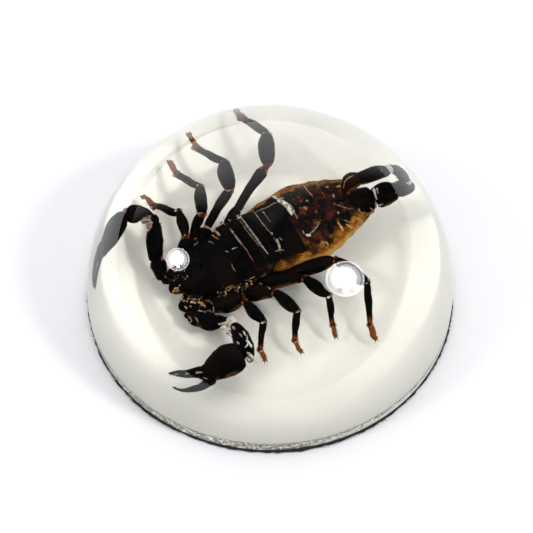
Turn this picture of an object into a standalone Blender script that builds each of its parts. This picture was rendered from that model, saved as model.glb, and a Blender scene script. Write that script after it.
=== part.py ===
"""A clear resin dome paperweight with a black scorpion sealed in it.

Pieces, from the table up: a black felt pad, an opaque white backing, and the clear dome, which is
parted in two at a level plane through the specimen so that the scorpion lies in its own pocket.
The origin is the centre of the felt's underside, +Z is up, and the scorpion's head points to -X.
Sizes below are in millimetres; MM turns them into Blender's metres.
"""
import math

import bmesh
import bpy
from mathutils import Matrix, Vector

MM = 0.001
GAP = 0.3                # left between pieces that touch
WELD = 1e-6              # metres, joins the seams and caps of made shapes

# Dome, backing and pad
DOME_RADIUS = 42.5
FELT_RADIUS = 42.6
FELT_TOP = 1.2
BACKING_TOP = 3.2
DOME_TOP = 44.8
PART_HEIGHT = 8.4        # level of the plane that parts the clear resin
ROUND_STEPS = 48
DOME_RINGS = 10

# Pocket around the specimen
LIMB_CLEARANCE = 0.45
TRUNK_CLEARANCE = 0.5
POCKET_TRUNK_STEPS = 14
POCKET_EXTRA_HEIGHT = 0.03  # added to the trunk's flatness

# Trunk: places along its axis from the front edge of the head, with the half-width there
TRUNK_FRONT = Vector((-16.3, -4.6, 9.2))
TRUNK_HEADING = math.radians(29.0)
TRUNK_FLATNESS = 0.47    # height over width
TRUNK_STEPS = 18
HEAD_WIDTHS = ((0.5, 2.6), (2.5, 3.9), (5.5, 5.0), (9.0, 5.7))
PLATE_ENDS = (13.3, 15.4, 18.0, 22.6, 26.0, 29.4, 32.6)
PLATE_WIDTHS = (5.8, 5.95, 6.3, 6.9, 6.8, 5.9, 4.3)
PLATE_STEP = 0.35        # how far each back plate stands over the one behind it
TAIL_ROOT_WIDTH = 2.4
TRUNK_END = 35.0

# Limbs: joint places from the trunk outwards, and a radius for each segment between two joints
LEG_RADII = (1.3, 0.95, 1.2, 0.78, 0.5)
LEG_SIDES = 6
LEGS = {
    "right_1": ((-11.0, -0.6, 8.0), (-13.6, 2.2, 8.5), (-13.7, 4.6, 9.8), (-14.4, 9.7, 9.0),
                (-17.9, 12.4, 6.4), (-19.2, 14.7, 5.2)),
    "right_2": ((-9.0, 1.2, 8.0), (-11.9, 4.4, 8.5), (-11.0, 8.7, 10.2), (-11.1, 14.0, 9.0),
                (-13.9, 17.6, 6.4), (-14.8, 20.1, 5.2)),
    "right_3": ((-6.8, 2.8, 8.0), (-9.9, 6.7, 8.5), (-6.5, 13.1, 10.5), (-7.2, 18.6, 9.0),
                (-10.9, 21.9, 6.4), (-11.6, 24.2, 5.2)),
    "right_4": ((-3.4, 5.0, 8.0), (-5.6, 9.2, 8.5), (-0.5, 17.2, 10.5), (-0.5, 23.1, 9.0),
                (-4.3, 26.3, 6.4), (-5.0, 28.0, 5.2)),
    "left_1": ((-10.4, -3.4, 8.0), (-9.6, -7.2, 8.0), (-4.7, -8.2, 9.5), (-1.2, -11.0, 8.5),
               (-1.5, -15.5, 6.4), (-0.9, -17.0, 5.2)),
    "left_2": ((-7.5, -2.5, 8.0), (-5.0, -5.2, 8.0), (0.3, -6.4, 9.5), (4.7, -8.9, 8.5),
               (4.3, -13.3, 6.4), (5.1, -15.3, 5.2)),
    "left_3": ((-4.6, -1.3, 8.0), (-1.3, -3.7, 8.0), (5.1, -3.2, 9.5), (9.6, -5.7, 8.5),
               (10.6, -10.0, 6.4), (11.0, -11.8, 5.2)),
    "left_4": ((-1.8, 0.3, 8.0), (2.4, -1.6, 8.5), (10.5, -0.1, 10.0), (16.4, -3.2, 8.5),
               (17.2, -10.1, 6.4), (18.2, -12.4, 5.2)),
}

# Claw arms (pedipalps): trochanter, femur, patella, then the hand and its two fingers
ARM_SIDES = 8
ARMS = {
    "right": ((-13.4, -2.6, 8.4), (-17.6, -1.6, 8.5), (-18.4, 0.8, 9.0), (-18.9, 7.9, 9.5), (-24.2, 10.9, 9.2)),
    "left": ((-12.4, -4.6, 8.2), (-13.6, -8.0, 8.0), (-11.8, -10.2, 8.0), (-6.7, -12.0, 8.5), (-3.6, -17.9, 8.5)),
}
ARM_RADII = (1.5, 1.5, 1.6, 1.7)
HAND_RADII = (1.1, 2.0, 2.3, 1.9, 1.2)
FINGER_RADII = (1.0, 0.8, 0.55, 0.2)
HANDS = {
    "right": ((-24.9, 10.6, 9.0), (-26.5, 9.1, 8.6), (-28.3, 6.6, 8.2), (-30.0, 4.0, 7.7), (-31.2, 1.8, 7.4)),
    "left": ((-3.7, -18.3, 8.5), (-5.3, -20.9, 8.5), (-8.4, -22.0, 8.4), (-11.4, -22.1, 8.1), (-13.4, -22.3, 7.8)),
}
FIXED_FINGERS = {
    "right": ((-31.0, 2.4, 7.4), (-32.6, -0.2, 7.0), (-33.4, -2.0, 6.8), (-33.8, -4.0, 6.6)),
    "left": ((-12.4, -22.0, 8.0), (-14.8, -22.5, 7.7), (-17.0, -22.7, 7.4), (-19.2, -22.8, 7.1)),
}
MOVING_FINGERS = {
    "right": ((-29.6, 1.9, 7.6), (-31.0, -0.8, 7.1), (-32.1, -2.4, 6.8), (-33.0, -4.0, 6.6)),
    "left": ((-9.0, -23.2, 8.2), (-12.4, -25.4, 7.6), (-15.6, -26.6, 7.1), (-18.8, -26.4, 6.7)),
}
CHELICERAE = (((-14.0, -2.8, 9.4), (-16.2, -3.4, 9.0), (-17.2, -4.2, 8.6)),
              ((-13.2, -4.2, 9.4), (-15.2, -5.4, 9.0), (-16.2, -6.4, 8.6)))
CHELICERA_RADII = (1.2, 1.3, 0.8)

# Tail (metasoma): joints of its five segments, which curl up and back over, then the sting
TAIL_SIDES = 8
TAIL = ((12.4, 11.2, 9.0), (16.9, 13.0, 9.6), (21.0, 13.4, 10.4), (23.9, 15.4, 12.2),
        (21.6, 16.9, 15.2), (15.4, 12.5, 16.5))
TAIL_RADII = (2.3, 2.1, 1.9, 1.75, 1.6)
STING = ((15.6, 12.6, 16.5), (14.2, 12.1, 16.3), (12.8, 11.6, 15.9), (11.6, 11.0, 14.8))
STING_RADII = (1.2, 1.5, 1.0, 0.2)

# A segment swells from its joint to its middle: place along it and share of its radius
SEGMENT_SWELL = ((0.0, 0.68), (0.3, 1.0), (0.84, 0.92))
POCKET_SWELL = ((0.0, 1.0), (0.5, 1.0))
LIMB_END_SHARE = 0.6

FELT_COLOUR = (0.012, 0.012, 0.014, 1.0)
BACKING_COLOUR = (0.86, 0.84, 0.77, 1.0)
RESIN_COLOUR = (0.97, 0.98, 0.96, 1.0)
SCORPION_COLOUR = (0.018, 0.014, 0.011, 1.0)


def clear_scene():
    for leftover in list(bpy.data.objects):
        bpy.data.objects.remove(leftover, do_unlink=True)


def make_collection(name, parent):
    made = bpy.data.collections.new(name)
    parent.children.link(made)
    return made


def make_material(name, colour, roughness, transmission=0.0, ior=1.5):
    made = bpy.data.materials.new(name)
    made.use_nodes = True
    shader = made.node_tree.nodes["Principled BSDF"]
    shader.inputs["Base Color"].default_value = colour
    shader.inputs["Roughness"].default_value = roughness
    shader.inputs["Transmission Weight"].default_value = transmission
    shader.inputs["IOR"].default_value = ior
    made.diffuse_color = colour
    return made


def metres(points):
    return [Vector(point) * MM for point in points]


def settled_mesh(source):
    """The evaluated shape of an object as a mesh of its own, welded shut; the object goes."""
    bpy.context.view_layer.update()
    evaluated = source.evaluated_get(bpy.context.evaluated_depsgraph_get())
    mesh = bpy.data.meshes.new_from_object(evaluated)
    mesh.transform(source.matrix_world)
    welded = bmesh.new()
    welded.from_mesh(mesh)
    bmesh.ops.remove_doubles(welded, verts=welded.verts, dist=WELD)
    bmesh.ops.recalc_face_normals(welded, faces=welded.faces)
    welded.to_mesh(mesh)
    welded.free()
    bpy.data.objects.remove(source, do_unlink=True)
    return mesh


def turned(name, profile, steps, home):
    """A solid of revolution about Z from (radius, height) points that run from top to bottom."""
    mesh = bpy.data.meshes.new(name)
    points = [(radius * MM, 0.0, height * MM) for radius, height in profile]
    mesh.from_pydata(points, [(i, i + 1) for i in range(len(points) - 1)], [])
    made = bpy.data.objects.new(name, mesh)
    home.objects.link(made)
    screw = made.modifiers.new("turn", "SCREW")
    screw.steps = steps
    screw.render_steps = steps
    screw.use_merge_vertices = True
    screw.merge_threshold = WELD
    return made


def tube(name, points, radii, sides, home):
    """A round tube along a chain of points with its own radius at each one."""
    curve = bpy.data.curves.new(name, "CURVE")
    curve.dimensions = "3D"
    curve.bevel_depth = MM
    curve.bevel_resolution = (sides - 4) // 2
    curve.use_fill_caps = True
    spline = curve.splines.new("POLY")
    spline.points.add(len(points) - 1)
    for knot, place, radius in zip(spline.points, metres(points), radii):
        knot.co = (*place, 1.0)
        knot.radius = radius
    made = bpy.data.objects.new(name, curve)
    home.objects.link(made)
    return made


def lengthened(points, extra):
    """The same chain of points with both ends pushed outwards by extra."""
    chain = [Vector(point) for point in points]
    first = chain[0] + (chain[0] - chain[1]).normalized() * extra
    last = chain[-1] + (chain[-1] - chain[-2]).normalized() * extra
    return [first] + chain[1:-1] + [last]


def jointed(name, joints, segment_radii, sides, grow, home):
    """A limb of swelling segments between its joints; grow makes the looser form of its pocket."""
    swell = POCKET_SWELL if grow else SEGMENT_SWELL
    chain = lengthened(joints, grow) if grow else [Vector(joint) for joint in joints]
    points = []
    radii = []
    for start, end, radius in zip(chain, chain[1:], segment_radii):
        for place, share in swell:
            points.append(start.lerp(end, place))
            radii.append(radius * share + grow)
    points.append(chain[-1])
    radii.append(segment_radii[-1] * (1.0 if grow else LIMB_END_SHARE) + grow)
    return tube(name, points, radii, sides, home)


def horn(name, points, radii, sides, grow, home):
    """A limb part with a radius at each point, such as a hand, a finger or the sting."""
    chain = lengthened(points, grow) if grow else points
    return tube(name, chain, [radius + grow for radius in radii], sides, home)


def trunk_profile(grow):
    """Half-widths from head to tail end; each back plate ends in a small step down."""
    profile = [(0.0, -grow)]
    profile += [(width + grow, place) for place, width in HEAD_WIDTHS]
    for end, width in zip(PLATE_ENDS, PLATE_WIDTHS):
        profile.append((width + grow, end))
        if not grow:
            profile.append((width - PLATE_STEP, end + PLATE_STEP))
    profile.append((TAIL_ROOT_WIDTH + grow, TRUNK_END + grow))
    return profile + [(0.0, TRUNK_END + grow)]


def trunk(grow, home):
    """Prosoma and mesosoma as one flattened turned form, laid along the trunk's heading."""
    profile = [(radius, -place) for radius, place in trunk_profile(grow)]
    made = turned("trunk", profile, POCKET_TRUNK_STEPS if grow else TRUNK_STEPS, home)
    flatness = TRUNK_FLATNESS + (POCKET_EXTRA_HEIGHT if grow else 0.0)
    head_forward = Matrix.Rotation(math.radians(-90.0), 4, "Y")
    lay_down = Matrix.Rotation(TRUNK_HEADING, 4, "Z") @ head_forward
    made.matrix_world = (Matrix.Translation(TRUNK_FRONT * MM) @ lay_down
                         @ Matrix.Diagonal((flatness, 1.0, 1.0, 1.0)))
    return made


def specimen_pieces(grow, home):
    """Every piece of the scorpion, or of the looser pocket around it."""
    yield trunk(TRUNK_CLEARANCE if grow else 0.0, home)
    for name, joints in LEGS.items():
        yield jointed("leg_" + name, joints, LEG_RADII, LEG_SIDES, grow, home)
    for side, joints in ARMS.items():
        yield jointed("arm_" + side, joints, ARM_RADII, ARM_SIDES, grow, home)
        yield horn("hand_" + side, HANDS[side], HAND_RADII, ARM_SIDES, grow, home)
        yield horn("fixed_finger_" + side, FIXED_FINGERS[side], FINGER_RADII, LEG_SIDES, grow, home)
        yield horn("moving_finger_" + side, MOVING_FINGERS[side], FINGER_RADII, LEG_SIDES, grow, home)
    for number, points in enumerate(CHELICERAE):
        yield horn("chelicera_%d" % number, points, CHELICERA_RADII, LEG_SIDES, grow, home)

    yield jointed("tail", TAIL, TAIL_RADII, TAIL_SIDES, grow, home)
    yield horn("sting", STING, STING_RADII, LEG_SIDES, grow, home)


def fused(name, grow, home):
    """One closed body from all the specimen's pieces."""
    made = None
    for piece in specimen_pieces(grow, home):
        mesh = settled_mesh(piece)
        if made is None:
            made = bpy.data.objects.new(name, mesh)
            home.objects.link(made)
            continue
        part = bpy.data.objects.new("joining", mesh)
        home.objects.link(part)
        union = made.modifiers.new("join", "BOOLEAN")
        union.operation = "UNION"
        union.solver = "EXACT"
        union.object = part
        bpy.context.view_layer.update()
        evaluated = made.evaluated_get(bpy.context.evaluated_depsgraph_get())
        joined = bpy.data.meshes.new_from_object(evaluated)
        made.modifiers.clear()
        made.data = joined
        bpy.data.objects.remove(part, do_unlink=True)
    return made


def dome_radius_at(height):
    rise = (height - BACKING_TOP) / (DOME_TOP - BACKING_TOP)
    return DOME_RADIUS * math.sqrt(max(0.0, 1.0 - rise * rise))


def dome_slice(name, low, high, rings, home):
    """The part of the dome between two heights, with rings spaced evenly round its arc."""
    span = DOME_TOP - BACKING_TOP
    first = math.asin((low - BACKING_TOP) / span)
    last = math.asin(min(1.0, (high - BACKING_TOP) / span))
    angles = [last + (first - last) * i / rings for i in range(rings + 1)]
    heights = [BACKING_TOP + span * math.sin(angle) for angle in angles]
    profile = [(dome_radius_at(height), height) for height in heights]
    if high < DOME_TOP:
        profile = [(0.0, high)] + profile
    else:
        profile[0] = (0.0, DOME_TOP)
    return turned(name, profile + [(0.0, low)], ROUND_STEPS, home)


def disc(name, radius, low, high, home):
    profile = ((0.0, high), (radius, high), (radius, low), (0.0, low))
    return turned(name, profile, ROUND_STEPS, home)


def cut(target, cutter):
    pocket = target.modifiers.new("pocket", "BOOLEAN")
    pocket.operation = "DIFFERENCE"
    pocket.solver = "EXACT"
    pocket.object = cutter


def finish(target, material):
    target.data.materials.clear()
    target.data.materials.append(material)


def build():
    clear_scene()
    scene_root = bpy.context.scene.collection
    home = make_collection("scorpion_paperweight", scene_root)
    cutters = make_collection("cutters", scene_root)

    felt = disc("felt_pad", FELT_RADIUS, 0.0, FELT_TOP, home)
    finish(felt, make_material("felt", FELT_COLOUR, 1.0))
    backing = disc("white_backing", DOME_RADIUS, FELT_TOP + GAP, BACKING_TOP, home)
    finish(backing, make_material("backing", BACKING_COLOUR, 0.35))

    scorpion = fused("scorpion", 0.0, home)
    finish(scorpion, make_material("cuticle", SCORPION_COLOUR, 0.35))
    pocket = fused("specimen_pocket", LIMB_CLEARANCE, cutters)
    pocket.hide_render = True
    pocket.display_type = "WIRE"

    resin = make_material("clear_resin", RESIN_COLOUR, 0.03, transmission=1.0, ior=1.5)
    lower = dome_slice("resin_bottom", BACKING_TOP + GAP, PART_HEIGHT - GAP / 2, 2, home)
    upper = dome_slice("resin_top", PART_HEIGHT + GAP / 2, DOME_TOP, DOME_RINGS, home)
    for half in (lower, upper):
        finish(half, resin)
        cut(half, pocket)


build()
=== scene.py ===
"""Looks of a clear resin dome with a black scorpion sealed in it, on a white backing and a felt pad.

Places are in millimetres, in the same frame as the solids: the origin is the centre of the felt's
underside, +Z is up, +X is the photo's right and +Y is away from its camera. MM turns them to metres.
The stage (camera, lamps, floor and card) is given in metres.
"""
import math

import bpy
import numpy as np
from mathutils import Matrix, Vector, noise

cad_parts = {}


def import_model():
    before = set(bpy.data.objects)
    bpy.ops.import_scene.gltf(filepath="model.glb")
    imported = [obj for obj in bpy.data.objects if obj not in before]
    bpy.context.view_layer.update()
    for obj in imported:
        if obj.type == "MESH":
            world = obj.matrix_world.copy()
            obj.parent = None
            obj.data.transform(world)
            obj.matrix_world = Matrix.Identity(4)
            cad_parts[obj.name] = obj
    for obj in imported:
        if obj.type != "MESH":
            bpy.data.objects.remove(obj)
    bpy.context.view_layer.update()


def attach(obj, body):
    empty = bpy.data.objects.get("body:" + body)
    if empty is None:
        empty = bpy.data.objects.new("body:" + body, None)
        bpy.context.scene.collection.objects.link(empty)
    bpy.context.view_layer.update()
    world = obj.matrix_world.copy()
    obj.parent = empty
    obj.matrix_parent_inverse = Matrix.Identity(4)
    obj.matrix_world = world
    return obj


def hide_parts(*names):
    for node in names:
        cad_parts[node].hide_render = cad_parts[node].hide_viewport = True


MM = 0.001
NOISE_SEED = 5
UP = (0.0, 0.0, 1.0)

# Photo's camera: height angle, distance to the dome, and the pixels where it sees the aim point
PHOTO_SIZE = 533.0
CAMERA_ELEVATION = math.radians(54.6)
CAMERA_DISTANCE = 0.3825
AIM_HEIGHT = 0.012
FOCAL_PIXELS = 1670.0
AIM_PIXEL = (270.0, 263.5)

# Dome, backing and pad; half-widths of a felt fibre at its root, middle and tip
DOME_RADIUS = 42.5
DOME_TOP = 44.8
BACKING_RADIUS = DOME_RADIUS - 0.05
BACKING_TOP = 3.2
BACKING_LOW = 0.7
FELT_RADIUS = DOME_RADIUS + 0.2
FELT_TOP = 0.8
FIBRE = (0.045, 0.035, 0.008)
RESIN_IOR = 1.5

# Round lamps: direction, angular width and radiance of the light, then of the lamp's face that the dome
# mirrors, and the rows (x, y, shift) that turn the picture on that face
LAMPS = {
    "lamp_left": {
        "light": ((-0.698, -0.254, 0.669), 0.18, 20.0), "face": ((-0.823, -0.063, 0.564), 0.36, 26.0),
        "turn": ((0.81, 2.57, -1.75), (-3.05, 1.56, 0.83))},
    "lamp_right": {
        "light": ((0.656, -0.265, 0.707), 0.18, 44.0), "face": ((0.695, -0.301, 0.653), 0.5, 26.0),
        "turn": ((1.37, -1.81, 0.13), (2.3, 1.86, -1.93))},
}
LAMP_DISTANCE = 2.0

# Spots on a lamp's face, each over the last: x, y, where its edge begins and ends, and its strength
LAMP_SPOTS = ((0.0, 0.0, 0.98, 1.04, 0.55), (0.0, 0.0, 0.88, 0.94, 0.2), (0.0, 0.0, 0.76, 0.84, 0.5),
              (-0.24, -0.66, 0.08, 0.2, 0.12), (0.3, -0.63, 0.08, 0.2, 0.12), (-0.04, 0.07, 0.5, 0.66, 1.3),
              (0.03, -0.6, 0.08, 0.2, 1.2))

# Surroundings: which way they get brighter, from how much to how much; the backdrop that the dome mirrors;
# half the floor's side; and the edges of the black card in front and at the left
WORLD_TOWARD = (-0.62, 0.62, 0.48)
WORLD_RADIANCE = (0.62, 1.18)
WORLD_TINT = (0.985, 0.99, 1.0, 1.0)
BACKDROP_TOWARD = (-0.17, 0.985, 0.0)
BACKDROP_RADIANCE = 1.7
FLOOR_REACH = 3.0
FLAG_FRONT = -0.105
FLAG_LEFT = -0.16

# Colours, in linear light
BLACK = (0.0012, 0.0012, 0.0015, 1.0)
DARK_BROWN = (0.012, 0.006, 0.003, 1.0)
RED_BROWN = (0.10, 0.022, 0.006, 1.0)
ORANGE_BROWN = (0.26, 0.07, 0.014, 1.0)
# Partly the real brown of edges, partly a painted glow of light through thin sides
EDGE_BROWN_AND_GLOW = (0.13, 0.048, 0.013, 1.0)
SPOT_RED = (0.17, 0.036, 0.006, 1.0)
AMBER = (0.36, 0.145, 0.012, 1.0)
DARK_AMBER = (0.15, 0.042, 0.005, 1.0)
GOLD = (0.48, 0.25, 0.05, 1.0)
MEMBRANE = (0.62, 0.52, 0.40, 1.0)
SILVER = (0.66, 0.64, 0.57, 1.0)
TAN = (0.42, 0.34, 0.22, 1.0)
DULL = (0.13, 0.115, 0.075, 1.0)
RESIN = (1.0, 1.0, 0.995, 1.0)
CREAM = ((0.855, 0.84, 0.755, 1.0), (0.83, 0.815, 0.725, 1.0))
CREAM_STAIN = (0.70, 0.66, 0.56, 1.0)
# Dark specks on the backing, along its upper edge and down its side at the lower left
SPECK_DARK = (0.10, 0.09, 0.075, 1.0)
FELT = ((0.006, 0.006, 0.007, 1.0), (0.035, 0.035, 0.038, 1.0))
TABLE = ((0.80, 0.805, 0.82, 1.0), (0.815, 0.82, 0.835, 1.0))

# Trunk of the scorpion: its widths are (place along it, half-width)
TRUNK_FRONT = np.array((-16.3, -4.6, 9.2))
TRUNK_HEADING = math.radians(29.0)
TRUNK_AHEAD = np.array((math.cos(TRUNK_HEADING), math.sin(TRUNK_HEADING)))
TRUNK_LENGTH = 35.4
TRUNK_WIDTHS = ((0.0, 0.1), (1.2, 0.2), (1.8, 2.7), (3.4, 3.9), (5.5, 5.0), (9.0, 5.6), (13.3, 5.75),
                (18.0, 6.2), (22.4, 6.85), (24.6, 7.15), (26.2, 6.95), (29.4, 6.0), (32.6, 4.7), (34.8, 3.4),
                (35.4, 1.6))
TRUNK_FLATNESS = 0.45
REAR_LAPPET = ((12.9, 6.6, 9.4, 0.6), (13.9, 7.6, 9.4, 0.95), (14.8, 8.6, 9.5, 0.9), (15.7, 9.4, 9.6, 0.6),
               (16.6, 9.8, 9.7, 0.25))
CARAPACE_END = 13.2
PLATES = ((13.6, 15.3), (15.9, 18.1), (18.4, 22.4), (22.9, 26.2), (26.0, 29.6), (29.4, 32.7), (32.5, 35.0))
LAST_DARK_PLATE = 2

# The head end lies lower: middle, depth and reach of the dip, and its shift back for each millimetre down
SUNK_SPOT = (-13.0, -4.0)
SUNK_DEPTH = 3.0
SUNK_REACH = 10.0
SUNK_BACK = 0.68

# Pale skin between the plates: half-width, warmth, then places along and across the trunk
GAPS = (
    (0.17, 0.0, ((13.3, 3.9), (13.2, 2.2), (13.2, 0.5), (13.35, -0.6))),
    (0.09, 0.9, ((13.3, -0.4), (13.4, -1.5), (13.4, -2.6), (13.5, -3.6))),
    (0.09, 0.2, ((15.5, 4.5), (15.3, 2.5), (15.3, 0.8), (15.5, -0.8), (15.7, -1.8))),
    (0.19, 0.0, ((16.0, 5.3), (15.9, 3.7), (15.8, 1.7), (15.9, -0.4), (16.0, -2.0), (16.3, -3.7))),
    (0.22, 0.1, ((15.4, 5.0), (15.8, 5.1), (16.3, 5.2))),
    (0.09, 0.0, ((18.3, 4.9), (18.2, 3.3), (18.2, 1.3), (18.4, -0.5))),
    (0.17, 0.0, ((18.5, -0.5), (18.6, -1.0))), (0.08, 0.5, ((18.5, -1.5), (18.5, -2.4))),
    (0.22, 0.0, ((18.8, -1.9), (18.6, -3.1), (18.4, -3.8))),
    (0.13, 0.0, ((17.6, -3.8), (18.3, -3.8), (19.0, -4.3))), (0.14, 0.1, ((19.3, -2.0), (19.5, -2.6))),
    (0.06, 0.6, ((19.4, 3.7), (19.4, 2.7), (19.4, 1.2))), (0.17, 0.1, ((19.3, 3.9), (19.5, 3.4))),
    (0.11, 0.4, ((18.5, 4.6), (19.5, 4.4), (20.5, 4.2), (21.7, 4.3), (22.7, 4.1))),
    (0.5, 0.0, ((22.6, 4.9), (23.0, 3.6), (23.3, 2.2), (23.1, 0.6))),
    (0.22, 0.0, ((23.5, 3.0), (23.75, 1.9), (23.6, 0.8))),
    (0.12, 0.0, ((23.5, 1.0), (23.6, 0.2), (23.4, -0.4))), (0.3, 0.1, ((22.3, 6.0), (22.6, 5.0))),
    (0.2, 0.1, ((22.5, 5.0), (22.9, 4.7), (23.6, 4.3))), (0.1, 0.1, ((23.3, -2.7), (23.2, -3.4))),
    (0.28, 0.0, ((23.4, -3.5), (23.7, -3.8), (24.2, -4.0))),
    (0.14, 0.0, ((23.7, -3.8), (24.6, -3.6), (25.8, -3.1), (26.5, -2.4))),
    (0.2, 0.95, ((27.6, 3.5), (27.8, 2.3))), (0.06, 0.3, ((30.5, -0.7), (31.6, -1.7), (32.6, -2.4))),
)

# First joint of each leg: where it leaves the trunk, where it ends, and its half-width
COXAE = {
    "right_1": ((-11.2, -0.6, 8.0), (-13.3, 3.0, 8.4), 1.35),
    "right_2": ((-9.6, 0.8, 8.0), (-12.2, 4.4, 8.4), 1.05),
    "right_3": ((-8.2, 1.6, 8.0), (-10.4, 5.0, 8.3), 1.2),
    "right_4": ((-4.2, 5.2, 8.0), (-6.1, 8.9, 8.5), 1.45),
    "left_1": ((-10.4, -3.4, 8.0), (-9.4, -7.9, 8.0), 1.35),
    "left_2": ((-7.5, -2.5, 8.0), (-4.0, -5.5, 8.0), 1.35),
    "left_3": ((-4.6, -1.3, 8.0), (-1.0, -3.1, 8.0), 1.4),
    "left_4": ((-1.8, 0.3, 8.0), (2.8, -1.3, 8.2), 1.15),
}

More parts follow.
